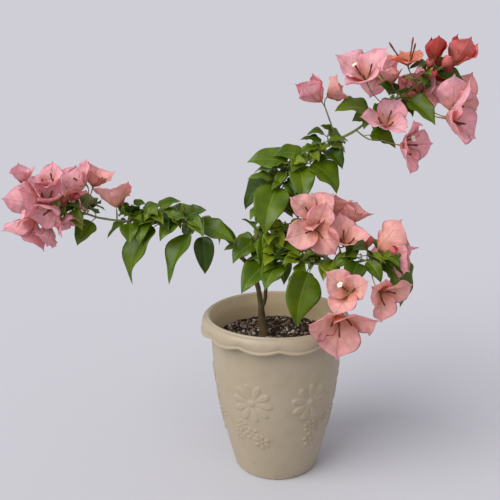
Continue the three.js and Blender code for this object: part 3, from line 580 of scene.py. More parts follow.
MASSES = {
    "left_leaves": {
        "from": ["left_bough", "left_shoot"],
        "stem": [(-85, 1, 301), (-109, -1, 310), (-135, -3, 316), (-157, -4, 315), (-174, -5, 312)],
        "radius": (1.9, 1.5), "seed": 11, "young": 6, "space": 95, "slim": 0.78, "twigs": 9,
        "leaves": [
            (0.05, -60, -80, 57, 30), (0.07, -135, -54, 76, 5), (0.07, 15, -25, 53, 50),
            (0.17, -22, -18, 60, 40), (0.17, 110, -50, 31, 40), (0.25, -130, -24, 41, -20),
            (0.25, -30, 26, 38, 60), (0.3, 105, 22, 35, -10), (0.42, -155, -58, 89, -20),
            (0.55, -55, -22, 33, 25), (0.62, 120, 3, 33, 0), (0.68, -100, -45, 38, 5),
            (0.93, -85, -35, 37, 5), (0.98, -55, 36, 36, 0),
        ],
        "triads": [],
    },
    "left_sprig": {
        "from": ["left_shoot"], "stem": [(-185, -6, 314), (-184, -9, 320), (-183, -13, 327)],
        "radius": (0.9, 0.8), "seed": 12, "young": 0, "space": 60, "twigs": 0, "leaves": [],
        "triads": [(1, 100, 60, 3, 110, 66, 34, 0.45, 0)],
    },
    "left_blossom": {
        "from": ["left_shoot"], "stem": [(-206, -7, 317), (-228, -9, 325), (-259, -12, 333)],
        "radius": (1.2, 0.9), "seed": 13, "young": 2, "buds": 3, "space": 90, "twigs": 2,
        "leaves": [
            (0.75, -45, 11, 34, 0), (0.45, -125, 29, 29, 0), (0.05, -130, -44, 41, -35),
            (0.05, -95, 34, 28, -30), (0.3, 80, 10, 40, 0),
        ],
        "triads": [
            (1, -175, 43, 37, -90, 84, 25, 0.3, 0), (1, -55, 61, 27, -100, 60, 30, 0.5, 90),
            (0.5, -5, 70, 33, -145, 42, 32, 0.5, 75), (0.35, 62, 60, 33, -15, 68, 30, 0.35, 60),
            (1, -90, 24, 20, -160, 6, 40, 0.4, 30), (1, -170, -31, 23, -160, -60, 40, 0.45, 60),
            (0.93, -115, -66, 23, -145, -58, 30, 0.3, 0), (1, -80, 15, 25, -55, 58, 30, 0.3, 30),
            (0.7, -80, -6, 20, -55, -60, 22, 0.4, 0), (0.88, -70, 9, 26, -130, -33, 36, 0.5, 60),
            (0.78, 100, 15, 34, 90, 18, 36, 0.8, 0), (1, 135, -3, 36, 130, 12, 36, 0.6, 0),
        ],
    },
    "crown_leaves": {
        "from": ["upper_bough", "upper_shoot"],
        "stem": [(-11, 13, 320), (9, 14, 356), (35, 17, 379), (67, 20, 399.5)],
        "radius": (2, 1.7), "seed": 21, "young": 8, "space": 95, "twigs": 10,
        "leaves": [
            (0.55, 177, 5, 60, -45), (0.7, -178, 4, 42, -45), (0.34, 165, -38, 62, -60),
            (0.3, -115, -48, 73, -20), (0.85, -150, -10, 28, -30), (0.88, -55, -32, 41, 25),
            (0.57, -85, -43, 56, 0), (0.62, -30, -37, 57, 30), (0.15, -45, -22, 42, 30),
            (0.33, -60, -32, 32, 30), (0.45, 115, 4, 27, -15), (0.9, 175, 15, 30, -35),
            (0.1, 100, -35, 55, 0), (0.5, 70, -30, 50, 0), (0.75, 100, -25, 45, 0), (0.3, 130, 5, 45, 0),
        ],
        "triads": [],
    },
    "upper_sprig": {
        "from": ["upper_shoot"], "stem": [(70, 20, 401), (67, 17, 412), (57, 13, 437)],
        "radius": (0.9, 0.8), "seed": 22, "young": 0, "space": 70, "twigs": 0,
        "leaves": [(0.25, -155, 31, 24, -45)],
        "triads": [(1, -150, 55, 10, -158, 46, 38, 0.15, 90), (1, 70, 62, 15, -7, 32, 28, 0.3, 0)],
    },
    "low_sprig": {
        "from": ["upper_shoot"], "stem": [(94, 20, 412), (106, 8, 403), (120, -6, 402)],
        "radius": (0.9, 0.8), "seed": 23, "young": 0, "space": 70, "twigs": 0,
        "leaves": [(0.3, -25, -20, 40, 35)],
        "triads": [(1, -20, -14, 20, -42, -2, 41, 0.55, 0)],
    },
    "upper_blossom": {
        "from": ["upper_shoot"], "stem": [(110, 22, 424), (135, 22, 443), (163, 20, 463), (187, 22, 482)],
        "radius": (1.4, 0.9), "seed": 24, "young": 2, "buds": 4, "space": 100, "twigs": 4,
        "leaves": [
            (0.1, -155, 6, 58, -45), (0.08, -165, -12, 30, 60), (0.45, -125, 2, 36, 0),
            (0.45, -40, -37, 54, 30), (0.8, -120, 20, 26, -60), (0.85, 0, -20, 48, 40),
            (0.8, 20, 32, 40, 35), (0.42, 165, 30, 30, -40),
        ],
        "triads": [
            (0.25, -135, 35, 52, -115, 45, 41, 0.55, 35), (0.7, 160, 52, 24, -120, 72, 28, 0.75, 80),
            (0.97, -148, 43, 10, -90, 84, 31, 0.05, 30), (1, 15, 4, 16, -11, 62, 38, 0.15, 60),
            (0.82, 68, -6, 17, 0, 32, 29, 0.3, 60), (0.68, 70, -30, 24, -125, 20, 36, 0.5, 30),
            (0.5, -20, -20, 56, 80, 64, 42, 0.3, 90), (0.45, -35, -24, 58, -35, 2, 47, 0.6, 330),
            (0.1, -86, -17, 39, -90, 51, 34, 0.75, 60), (0.45, 166, 52, 18, -135, 82, 22, 0.3, 0),
            (0.38, 120, 42, 41, 96, 18, 35, 0.7, 30), (0.75, 58, -21, 38, 77, 12, 40, 0.7, 60),
            (0.88, 22, -40, 46, 49, 18, 36, 0.5, 0),
        ],
    },
    "mid_leaves": {
        "from": ["upper_bough"], "stem": [(-25, 11, 272), (-14, 5, 285), (0, -2, 295), (16, -10, 304)],
        "radius": (1.2, 1), "seed": 31, "young": 4, "space": 70, "twigs": 5,
        "leaves": [
            (0.28, -165, 50, 40, 0), (0.26, -145, -24, 47, -30), (0.53, -42, -16, 50, 30),
            (0.75, -35, -45, 35, 35), (0.5, 100, -20, 40, 0),
        ],
        "triads": [],
    },
    "mid_blossom": {
        "from": ["mid_leaves"], "stem": [(16, -10, 304), (30, -18, 309), (46, -25, 311)],
        "radius": (1, 0.9), "seed": 32, "young": 0, "buds": 2, "space": 90, "twigs": 0, "leaves": [],
        "triads": [
            (0.93, -95, -1, 24, -96, 6, 36, 0.9, 190), (0.9, -106, 55, 12, -106, 39, 34, 0.6, 40),
            (1, 47, 13, 28, 45, 82, 34, 0.5, 60), (1, -45, -27, 42, -80, 58, 37, 0.45, 95),
            (1, 0, 2, 39, 0, 69, 28, 0.4, 0), (1, -32, -46, 41, -90, -72, 22, 0.2, 0),
            (1, 50, -17, 37, 84, 12, 38, 0.7, 30),
        ],
    },
    "right_leaves": {
        "from": ["right_stem", "right_shoot"],
        "stem": [(-4, 2, 262), (8, -12, 267), (26, -28, 268), (54.5, -54.8, 271)],
        "radius": (1.8, 1.6), "seed": 45, "young": 6, "space": 80, "twigs": 6,
        "leaves": [
            (0.05, -135, -27, 63, -20), (0.33, -125, -35, 49, -20), (0.28, 75, -70, 39, 0),
            (0.85, -125, -60, 74, -55), (0.82, 175, -83, 58, 75), (0.55, -135, 12, 34, -40),
            (0.78, -82, 30, 36, 40), (0.1, 80, -10, 50, 0), (0.4, 45, -5, 48, 0), (0.7, 35, -20, 45, 0),
        ],
        "triads": [],
    },
    "hanging_sprig": {
        "from": ["right_shoot"], "stem": [(58, -57, 271.5), (58, -74, 266), (60, -88, 251)],
        "radius": (0.9, 0.8), "seed": 42, "young": 0, "space": 75, "twigs": 0, "leaves": [],
        "triads": [(1, -70, -72, 25, -90, -31, 50, 0.6, 30), (0.6, -62, -20, 30, -111, 25, 32, 0.6, 20)],
    },
    "right_blossom": {
        "from": ["right_shoot"], "stem": [(79, -66, 276), (95, -70, 280), (112, -72, 284)],
        "radius": (1.3, 1), "seed": 43, "young": 1, "buds": 2, "space": 85, "twigs": 2,
        "leaves": [
            (0.03, -120, 44, 34, -110), (0.65, -135, 24, 40, -40), (0.28, -115, -29, 41, -20),
            (0.97, -35, -37, 29, 25), (0.75, -10, -53, 38, 50), (1, 25, -68, 66, 80),
        ],
        "triads": [
            (0.88, 115, 70, 10, 28, 4, 42, 0.6, 105), (1, 77, -2, 14, -21, -19, 38, 0.3, 60),
            (0.6, -82, -38, 42, -65, -12, 33, 0.7, 25), (1, 69, -24, 35, 63, 6, 36, 0.6, 0),
        ],
    },
}


def toward(heading, rise):
    """Unit vector from a compass heading (0 is +X, 90 is +Y) and a rise, in degrees."""
    h, r = math.radians(heading), math.radians(rise)
    return Vector((math.cos(r) * math.cos(h), math.cos(r) * math.sin(h), math.sin(r)))


def arc(start, ahead, beside, bend_from, bend, length, s):
    """Point and direction along an arc of one bend, in the plane of ahead and beside."""
    now = bend_from + bend * s
    if abs(bend) < 1e-6:
        along, off = math.cos(bend_from) * s, math.sin(bend_from) * s
    else:
        along = (math.sin(now) - math.sin(bend_from)) / bend
        off = (math.cos(bend_from) - math.cos(now)) / bend
    return start + ahead * (along * length) + beside * (off * length), (
        ahead * math.cos(now) + beside * math.sin(now))


def leaf_frame(start, heading, hang, reach, turn, arch):
    """A leaf's middle line: place, direction, sideways and face along it, from 0 to 1."""
    level = toward(heading, 0)
    bend = math.radians(arch)
    length = reach * bend / 2 / math.sin(bend / 2)
    across = toward(heading + 90, 0)
    face = toward(heading, hang).cross(across)
    side = across * math.cos(math.radians(turn)) + face * math.sin(math.radians(turn))

    def frame_at(s):
        at, going = arc(start, level, UP, math.radians(hang) + bend / 2, -bend, length, s)
        square = (side - going * side.dot(going)).normalized()
        return at, going, square, going.cross(square)

    return frame_at


def bract_frame(centre, axis, around, opening, size):
    """A bract's middle line, from the flower's middle out along `around`. It bends in over a shut flower
    and back from an open one."""
    root = centre + around * BRACT_ROOT
    side = axis.cross(around)

    def frame_at(s):
        at, going = arc(root, axis, around, math.radians(40 + 22 * opening),
                        math.radians(-52 + 88 * opening), size, s)
        return at, going, side, going.cross(side)

    return frame_at


def triad_frames(start, row, draw):
    """The flower's middle, its axis, its stalk's bow and its three bracts' frames."""
    _, heading, rise, reach, face_heading, face_rise, size, opening, spin = row
    centre = start + toward(heading, rise) * reach
    axis = toward(face_heading, face_rise)
    aside = toward(face_heading + 90, 0)
    third = axis.cross(aside)
    bracts = []
    for step in (0, 120, 240):
        angle = math.radians(spin + step + draw(-9, 9))
        around = aside * math.cos(angle) + third * math.sin(angle)
        own = size * draw(0.92, 1.06)
        bracts.append((around, own, bract_frame(centre, axis, around, opening, own)))
    return {"start": start, "centre": centre, "axis": axis, "bow": centre - axis * (0.4 * reach),
            "bracts": bracts, "opening": opening}


def tangent(curve, t):
    """Direction of a curve."""
    return (curve(min(t + 0.0001, 1)) - curve(max(t - 0.0001, 0))).normalized()


limb_points = {name: spaced(guide(points), LIMB_POINTS) for name, (points, _, _) in LIMBS.items()}


def keeper(mass, curve):
    """The test for what a mass keeps: in its own space, above the pot and clear of other limbs."""
    others = [p for name, points in limb_points.items() if name not in mass["from"] for p in points]
    stem_points = spaced(curve, STEM_POINTS)

    def keeps(samples):
        return all(
            any((q - p).length < mass["space"] for q in stem_points)
            and (p.z > POT_HEIGHT + POT_CLEARANCE or p.xy.length > COLLAR_RADIUS + POT_CLEARANCE)
            and all((q - p).length > LIMB_CLEARANCE for q in others)
            for p in samples)

    return keeps


stems = []
leaves = []
triads = []
for name, mass in MASSES.items():
    draw = draws(mass["seed"])
    curve = guide(mass["stem"])
    keeps = keeper(mass, curve)
    stems.append((name, spaced(curve, STEM_ROWS * (len(mass["stem"]) - 1)), mass["radius"]))
    rows = [(*row, False) for row in mass["leaves"]]
    for k in range(mass["young"]):
        at = draw(0.08, 0.95)
        along = tangent(curve, at)
        heading = math.degrees(math.atan2(along.y, along.x)) + (1 if k % 2 else -1) * draw(45, 115)
        rows.append((at, heading, draw(-15, 45), draw(13, 24), draw(-30, 30), True))
    for at, heading, hang, reach, turn, is_young in rows:
        lean = turn + draw(-8, 8)
        frame_at = leaf_frame(curve(at), heading, hang, reach, lean, draw(35, 75))
        if keeps([frame_at(s)[0] for s in LEAF_TESTS]):
            leaves.append((name, frame_at, reach, is_young))
    for number, row in enumerate(mass["triads"]):
        made = triad_frames(curve(row[0]), row, draw)
        if keeps([frame_at(s)[0] for _, _, frame_at in made["bracts"] for s in BRACT_TESTS]):
            triads.append({**made, "mass": name, "number": number})

# The rule goes on to finer twigs: short side shoots, each with a tuft of young leaves and a growing tip,
# and in the blossom a few buds on short stalks
twigs = []
tips = []
for name, mass in MASSES.items():
    draw = draws(mass["seed"] + TWIG_SEED)
    curve = guide(mass["stem"])
    keeps = keeper(mass, curve)
    for k in range(mass["twigs"]):
        at = (k + draw(0.2, 0.8)) / mass["twigs"]
        along = tangent(curve, at)
        heading = math.degrees(math.atan2(along.y, along.x)) + (1 if k % 2 else -1) * draw(30, 100)
        rise = draw(10, 60)
        length = draw(8, 18)
        start = curve(at)
        bend = toward(heading, rise) * (0.55 * length)
        end = start + bend + toward(heading + draw(-25, 25), rise + draw(0, 30)) * (0.45 * length)
        shoot = guide([start, start + bend, end])
        if not keeps([shoot(0.5), end]):
            continue
        twigs.append([shoot(j / TWIG_ROWS) for j in range(TWIG_ROWS + 1)])
        tips.append((end, tangent(shoot, 1)))
        for j in range(TWIG_LEAVES):
            place = 0.2 + 0.2 * j
            beside = heading + (1 if j % 2 else -1) * draw(35, 110)
            hang = draw(-50, 20)
            reach = draw(24, 42) * (1.1 - 0.4 * place)
            to_light = math.copysign(draw(5, 50), math.cos(math.radians(beside)))
            frame_at = leaf_frame(shoot(place), beside, hang, reach, to_light, draw(35, 80))
            if keeps([frame_at(s)[0] for s in LEAF_TESTS]):
                leaves.append((name, frame_at, reach, True))
    for k in range(mass.get("buds", 0)):
        heading = draw(0, 360)
        row = (draw(0.45, 1), heading, draw(5, 75), draw(12, 24), heading, draw(30, 80), draw(10, 17),
               draw(0, 0.1), draw(0, 120))
        made = triad_frames(curve(row[0]), row, draw)
        if keeps([frame_at(s)[0] for _, _, frame_at in made["bracts"] for s in BUD_TESTS]):
            triads.append({**made, "mass": name, "number": BUD})


# The green stems: this year's wood, smooth and green, browner where it is older. The bare shoots, the
# stem inside each mass, the finer twigs, and the small pointed bud at each growing tip.

GREEN_SHOOTS = ("left_shoot", "upper_shoot", "right_shoot")
OLDER_STEMS = ("crown_leaves", "right_leaves", "left_leaves")
NODE_SPACING = 17
NODE_RELIEF = 0.16
SHOOT_SIDES = 14
TWIG_SIDES = 8
TWIG_RADII = (0.75, 0.5)
# Steps along a growing tip and its radii there
TIP_STEPS = (-0.5, 0.3, 1.2, 2.2, 3)
TIP_RADII = (0.6, 0.95, 0.9, 0.5, 0.08)


def tapered(start_radius, end_radius, count):
    """Radii that go evenly from one to the other."""
    return [start_radius + (end_radius - start_radius) * k / (count - 1) for k in range(count)]


def node_relief(length, rows):
    """A slight swelling at each leaf node."""
    def relief(k, angle):
        run = length * k / rows
        return 1 + NODE_RELIEF * math.exp(-((run % NODE_SPACING - 8) / 1.6) ** 2) + 0.03 * math.sin(5 * angle)
    return relief


green = bmesh.new()
for name in GREEN_SHOOTS:
    points, *radii = LIMBS[name]
    path = spaced(guide(points), LIMB_POINTS)
    path = [path[0] * 2 - path[1], *path, path[-1] * 2 - path[-2]]
    relief = node_relief((path[-1] - path[0]).length, len(path))
    rod(green, path, tapered(*radii, len(path)), SHOOT_SIDES, 0, relief)
for name, path, radii in stems:
    relief = node_relief(run_length(path), len(path))
    rod(green, path, tapered(*radii, len(path)), SHOOT_SIDES, name in OLDER_STEMS, relief)
for path in twigs:
    rod(green, path, tapered(*TWIG_RADII, len(path)), TWIG_SIDES)
for end, going in tips:
    rod(green, [end + going * step for step in TIP_STEPS], TIP_RADII, TWIG_SIDES)

# Young bougainvillea wood: a thin waxy rind, smooth and faintly streaked, green in the newest growth
# and brown-green where it is turning to bark.
rinds = []
for name, code, darker, waxy in (
    ("rind_green_waxy", "7d8a48", "5d6a32", 0.45), ("rind_turning_brown", "75704a", "55482f", 0.6),
):
    rind, tree, skin = begin_material(name)
    where = add(tree, "TexCoord", {}).outputs["Object"]
    streaks = add(tree, "TexNoise", {"Vector": where, "Scale": 1 / (5 * MM), "Detail": 4}).outputs["Fac"]
    colour = add(tree, "Mix", {0: streaks, 6: tint(darker), 7: tint(code)}, data_type="RGBA").outputs[2]
    fine = add(tree, "TexNoise", {"Vector": where, "Scale": 1 / (0.8 * MM), "Detail": 3}).outputs["Fac"]
    pores = add(tree, "Bump", {"Height": fine, "Strength": 0.25, "Distance": 0.2 * MM}).outputs[0]
    feed(tree, skin, {"Base Color": colour, "Roughness": waxy, "Normal": pores})
    rinds.append(rind)

green_piece = to_object("green_stems", green, *rinds)
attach(green_piece, "root")
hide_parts(*GREEN_SHOOTS)


# The leaf stalks: thin green stalks that run on as the raised midrib under each blade.

STALK_RADIUS = 0.75
STALK_SIDES = 7
STALK_ROWS = 10
MIDRIB_END = 0.9

stalks = bmesh.new()
for _, frame_at, reach, _ in leaves:
    path = []
    radii = []
    thick = STALK_RADIUS * (0.6 + 0.4 * min(reach / 45, 1))
    for k in range(STALK_ROWS + 1):
        s = MIDRIB_END * k / STALK_ROWS
        at, _, _, up = frame_at(s)
        on_blade = max(s - STALK, 0) / (1 - STALK)
        radius = thick * (1 - 0.25 * min(s / STALK, 1)) * (1 - 0.8 * on_blade)
        path.append(at - up * (0.55 * radius if s > STALK else 0))
        radii.append(radius)
    rod(stalks, path, radii, STALK_SIDES)

stalk_skin, tree, skin = begin_material("leaf_stalk_green")
where = add(tree, "TexCoord", {}).outputs["Object"]
uneven = add(tree, "TexNoise", {"Vector": where, "Scale": 1 / (12 * MM), "Detail": 2}).outputs["Fac"]
colour = add(tree, "Mix", {0: uneven, 6: tint("6d7f35"), 7: tint("93a355")}, data_type="RGBA").outputs[2]
feed(tree, skin, {"Base Color": colour, "Roughness": 0.5})
stalk_piece = to_object("leaf_stalks", stalks, stalk_skin)
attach(stalk_piece, "root")


# The leaves: waxy egg-shaped blades drawn out to a point, folded a little along the midrib, with
# gently waved edges. Old ones are deep green, the outer ones brighter, and the young ones yellow-green.

LEAF_WIDTH = 0.77
LEAF_THICKNESS = 0.5
LEAF_FOLD = 26
LEAF_WAVE = 0.15
LEAF_BULGE = 0.014
LEAF_ACROSS = (-1, -0.86, -0.66, -0.42, -0.2, -0.035, 0.035, 0.2, 0.42, 0.66, 0.86, 1)
LEAF_ROWS = 22
YOUNG_ACROSS = (-1, -0.78, -0.45, -0.06, 0.06, 0.45, 0.78, 1)
YOUNG_ROWS = 14
MIDRIB_HALF_WIDTH = 0.03
VEIN_PAIRS = 6
VEIN_SWEEP = 0.31
# The first of each green's three materials, then how many old blades are deep and young ones young green
DEEP_GREEN = 0
BRIGHT_GREEN = 3
YOUNG_GREEN = 6
DEEP_SHARE = 0.5
YOUNG_SHARE = 0.42


def leaf_outline(v):
    """Half width from base to tip, 1 at its widest: broad near the stalk, with a long taper."""
    return v ** 0.42 * (1 - v ** 1.2) ** 1.22 / 0.4376


def spread(count):
    """Steps from 0 to 1, closer together at both ends."""
    return [(1 - math.cos(math.pi * (k / count) ** 0.9)) / 2 for k in range(count + 1)]


def thin_blade(whole, across, along, place, pick):
    """A closed thin blade: two nets that meet at the rim. place(t, v, side) gives its points, with side 1
    on its face and -1 on its back, and pick(t, side) the material of a face."""
    shape = bmesh.new()
    layer = shape.loops.layers.uv.verify()
    for side in (1, -1):
        net = bmesh.ops.create_grid(shape, x_segments=len(across) - 1, y_segments=len(along) - 1, size=0.5)
        net = net["verts"]
        for vert in net:
            t = across[round((vert.co.x + 0.5) * (len(across) - 1))]
            vert.co = (t, along[round((vert.co.y + 0.5) * (len(along) - 1))], 0)
        faces = list({face for vert in net for face in vert.link_faces})
        for face in faces:
            face.material_index = pick(face.calc_center_median().x, side)
            for loop in face.loops:
                loop[layer].uv = (0.5 + loop.vert.co.x / 2, loop.vert.co.y)
        if side > 0:
            bmesh.ops.reverse_faces(shape, faces=faces)
        for vert in net:
            vert.co = place(vert.co.x, vert.co.y, side) * MM
    bmesh.ops.remove_doubles(shape, verts=shape.verts, dist=0.01 * MM)
    join_in(whole, shape)


def turned(across, up, angle):
    """A blade's sideways and face directions, turned about its length."""
    return (across * math.cos(angle) + up * math.sin(angle), up * math.cos(angle) - across * math.sin(angle))


def thin_out(t, v):
    """A blade's share of its full thickness: none at the rim."""
    return (1 - t * t) * min(1, 9 * v, 9 * (1 - v))


def between_veins(t, v, pairs, sweep):
    """How far the tissue bulges at a place: 0 along the side veins, 1 half way between them."""
    return 0.5 - 0.5 * math.cos(2 * math.pi * pairs * (v - sweep * abs(t)))


def vein_places(tree, pairs, sweep):
    """A blade's map, the place along it, how far that lies aside of the midrib, and how far from the
    nearest side vein."""
    flat = add(tree, "TexCoord", {}).outputs["UV"]
    spot = add(tree, "SeparateXYZ", {0: flat})
    centred = add(tree, "Math", {0: spot.outputs["X"], 1: 0.5}, operation="SUBTRACT").outputs[0]
    aside = add(tree, "Math", {0: centred}, operation="ABSOLUTE").outputs[0]
    swept = add(tree, "Math", {0: aside, 1: -2 * sweep, 2: spot.outputs["Y"]},
                operation="MULTIPLY_ADD").outputs[0]
    paired = add(tree, "Math", {0: swept, 1: pairs}, operation="MULTIPLY").outputs[0]
    near = add(tree, "Math", {0: paired, 1: 0.5}, operation="PINGPONG").outputs[0]
    return flat, spot.outputs["Y"], aside, near


blades = bmesh.new()
young_blades = bmesh.new()
draw = draws(77)
for name, frame_at, reach, is_young in leaves:
    size = reach * (1 - STALK)
    width = LEAF_WIDTH * draw(0.95, 1.1) * MASSES[name].get("slim", 1) ** smooth(35, 60, reach)
    fold = math.radians(LEAF_FOLD + draw(-9, 12))
    waves = draw(1.3, 2.6)
    phase = draw(0, 6.3)
    twist = math.radians(draw(-15, 15))
    hook = draw(-0.07, 0.03)
    hue = draw(0, 1)
    if is_young:
        base = YOUNG_GREEN if hue < YOUNG_SHARE else BRIGHT_GREEN
    else:
        base = DEEP_GREEN if hue < DEEP_SHARE else BRIGHT_GREEN

    def place(t, v, side):
        at, _, across, up = frame_at(STALK + (1 - STALK) * v)
        across, up = turned(across, up, twist * v * v)
        half = size * width * leaf_outline(v) / 2
        lift = half * math.sin(fold) * (math.sqrt(t * t + 0.02) - 0.14 - 0.3 * abs(t) ** 2.5)
        wave = LEAF_WAVE * half * math.sin(2 * math.pi * waves * v + phase + (1.9 if t < 0 else 0))
        bulge = LEAF_BULGE * size * between_veins(t, v, VEIN_PAIRS, VEIN_SWEEP) * (1 - t * t)
        bulge *= min(1, 4 * (1 - v))
        tip = size * hook * smooth(0.6, 1.05, v) ** 2
        thick = LEAF_THICKNESS * thin_out(t, v)
        height = lift + wave * abs(t) ** 3 + bulge + tip + side * thick / 2
        return at + across * (t * half * math.cos(fold)) + up * height

    if is_young:
        whole, columns, rows = young_blades, YOUNG_ACROSS, YOUNG_ROWS
    else:
        whole, columns, rows = blades, LEAF_ACROSS, LEAF_ROWS
    thin_blade(whole, columns, spread(rows), place,
               lambda t, side: base + (2 if side < 0 else (1 if abs(t) < MIDRIB_HALF_WIDTH else 0)))

# Bougainvillea leaf: a waxed cuticle over veined tissue, so it shines softly, lets some light through
# and shows a pale midrib with side veins that sweep towards the tip. Its back is paler and matt.
leaf_skins = []
for kind, face, vein, back in (
    ("deep", "395206", "567025", "5e742a"), ("bright", "566f07", "738b25", "718a2a"),
    ("young", "748714", "90a335", "869a34"),
):
    for part, code, shine in (("face", face, 0.34), ("midrib", vein, 0.4), ("back", back, 0.6)):
        leaf_skin, tree, skin = begin_material(f"leaf_{kind}_{part}")
        _, _, aside, near = vein_places(tree, VEIN_PAIRS, VEIN_SWEEP)
        line = add(tree, "MapRange", {"Value": near, "From Min": 0.07, "From Max": 0.01}).outputs[0]
        fade = add(tree, "MapRange", {"Value": aside, "From Min": 0.46, "From Max": 0.1}).outputs[0]
        veins = add(tree, "Math", {0: line, 1: fade}, operation="MULTIPLY").outputs[0]
        where = add(tree, "TexCoord", {}).outputs["Object"]
        cloud = add(tree, "TexNoise", {"Vector": where, "Scale": 1 / (17 * MM), "Detail": 3}).outputs["Fac"]
        light = add(tree, "MapRange", {"Value": cloud, "From Min": 0.3, "From Max": 0.7,
                                       "To Min": 0.76, "To Max": 1.24}).outputs[0]
        warm = add(tree, "MapRange", {"Value": cloud, "From Min": 0.3, "From Max": 0.7,
                                      "To Min": 0.512, "To Max": 0.488}).outputs[0]
        plain = add(tree, "HueSaturation", {"Color": tint(code), "Hue": warm, "Value": light}).outputs[0]
        share = add(tree, "Math", {0: veins, 1: 0.2}, operation="MULTIPLY").outputs[0]
        veined = add(tree, "Mix", {0: share, 6: plain, 7: tint(vein)}, data_type="RGBA").outputs[2]
        margin = add(tree, "MapRange", {"Value": aside, "From Min": 0.44, "From Max": 0.5, "To Max": 0.4})
        colour = add(tree, "Mix", {0: margin.outputs[0], 6: veined, 7: tint(vein)},
                     data_type="RGBA").outputs[2]
        raised = add(tree, "Bump", {"Height": veins, "Strength": 0.4, "Distance": 0.2 * MM},
                     invert=part == "face").outputs[0]
        pitted = add(tree, "TexNoise", {"Vector": where, "Scale": 1 / (1.1 * MM), "Detail": 3}).outputs["Fac"]
        waxed = add(tree, "Bump", {"Height": pitted, "Strength": 0.18, "Distance": 0.15 * MM,
                                   "Normal": raised}).outputs[0]
        feed(tree, skin, {"Base Color": colour, "Roughness": shine, "Specular IOR Level": 0.32,
                          "Normal": waxed})
        glow = add(tree, "BsdfTranslucent", {"Color": colour, "Normal": raised})
        both = add(tree, "MixShader", {0: 0.24, 1: skin.outputs[0], 2: glow.outputs[0]})
        feed(tree, tree.nodes["Material Output"], {"Surface": both.outputs[0]})
        leaf_skins.append(leaf_skin)

leaf_piece = to_object("leaves", blades, *leaf_skins)
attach(leaf_piece, "root")
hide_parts("left_leaves", "crown_leaves", "mid_leaves", "right_leaves")
young_piece = to_object("young_leaves", young_blades, *leaf_skins)
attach(young_piece, "root")


# The flower stalks: hair-thin, one to each flower, widening where the three bracts sit.

FLOWER_STALK_RADIUS = 0.6
FLOWER_STALK_FLARE = 1.1
FLOWER_STALK_ROWS = 12
FLOWER_SIDES = 8

flower_stalks = bmesh.new()
for triad in triads:
    start, bow, end = triad["start"], triad["bow"], triad["centre"] + triad["axis"] * 1.2
    shares = [k / FLOWER_STALK_ROWS for k in range(FLOWER_STALK_ROWS + 1)]
    path = [start * (1 - s) ** 2 + bow * (2 * s * (1 - s)) + end * s ** 2 for s in shares]
    radii = [FLOWER_STALK_RADIUS + FLOWER_STALK_FLARE * s ** 9 for s in shares]
    rod(flower_stalks, path, radii, FLOWER_SIDES)

flower_stalk_skin, tree, skin = begin_material("flower_stalk_dusky")
where = add(tree, "TexCoord", {}).outputs["Object"]
uneven = add(tree, "TexNoise", {"Vector": where, "Scale": 1 / (14 * MM), "Detail": 2}).outputs["Fac"]
colour = add(tree, "Mix", {0: uneven, 6: tint("77603f"), 7: tint("9a9260")}, data_type="RGBA").outputs[2]
feed(tree, skin, {"Base Color": colour, "Roughness": 0.55})
flower_stalk_piece = to_object("flower_stalks", flower_stalks, flower_stalk_skin)
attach(flower_stalk_piece, "root")


# The bracts: papery coloured leaves in threes round each flower. They are broad and pointed, cupped and
# overlapping like a pinwheel at the base, crinkled between their veins, with a tip that bends back.

BRACT_WIDTH = 0.97
BRACT_SHOULDER = 0.925
BRACT_THICKNESS = 0.35
BRACT_WAVE = 0.15
BRACT_FINE_WAVE = 0.04
BRACT_BULGE = 0.016
BRACT_CRINKLE = 0.05
BRACT_ACROSS = (-1, -0.88, -0.7, -0.5, -0.28, -0.03, 0.03, 0.28, 0.5, 0.7, 0.88, 1)
BRACT_ROWS = 24
BRACT_VEINS = 5
BRACT_SWEEP = 0.4
SHUT_BELOW = 0.25
# The bracts' colours, in the order of their materials
SALMON = 0
ROSE = 1
CORAL = 2
SCARLET = 3
ORANGE = 4
ROSIER = ("left_blossom", "upper_blossom", "upper_sprig", "low_sprig")
ROSE_SHARE = (0.15, 0.65)
TINTED_TRIADS = {
    ("upper_blossom", 2): SCARLET, ("upper_blossom", 4): SCARLET, ("upper_blossom", 3): CORAL,
    ("upper_blossom", 1): ORANGE, ("upper_blossom", 9): SALMON, ("mid_blossom", 5): CORAL,
}


def bract_outline(v):
    """Half width from base to tip, 1 at its widest: rounder than a leaf, with a short point."""
    round_part = v ** 0.45 * max(1 - (v / BRACT_SHOULDER) ** 2.4, 0) ** 0.85 / 0.5914
    return max(round_part, 1.5 * v * v * (1 - v))


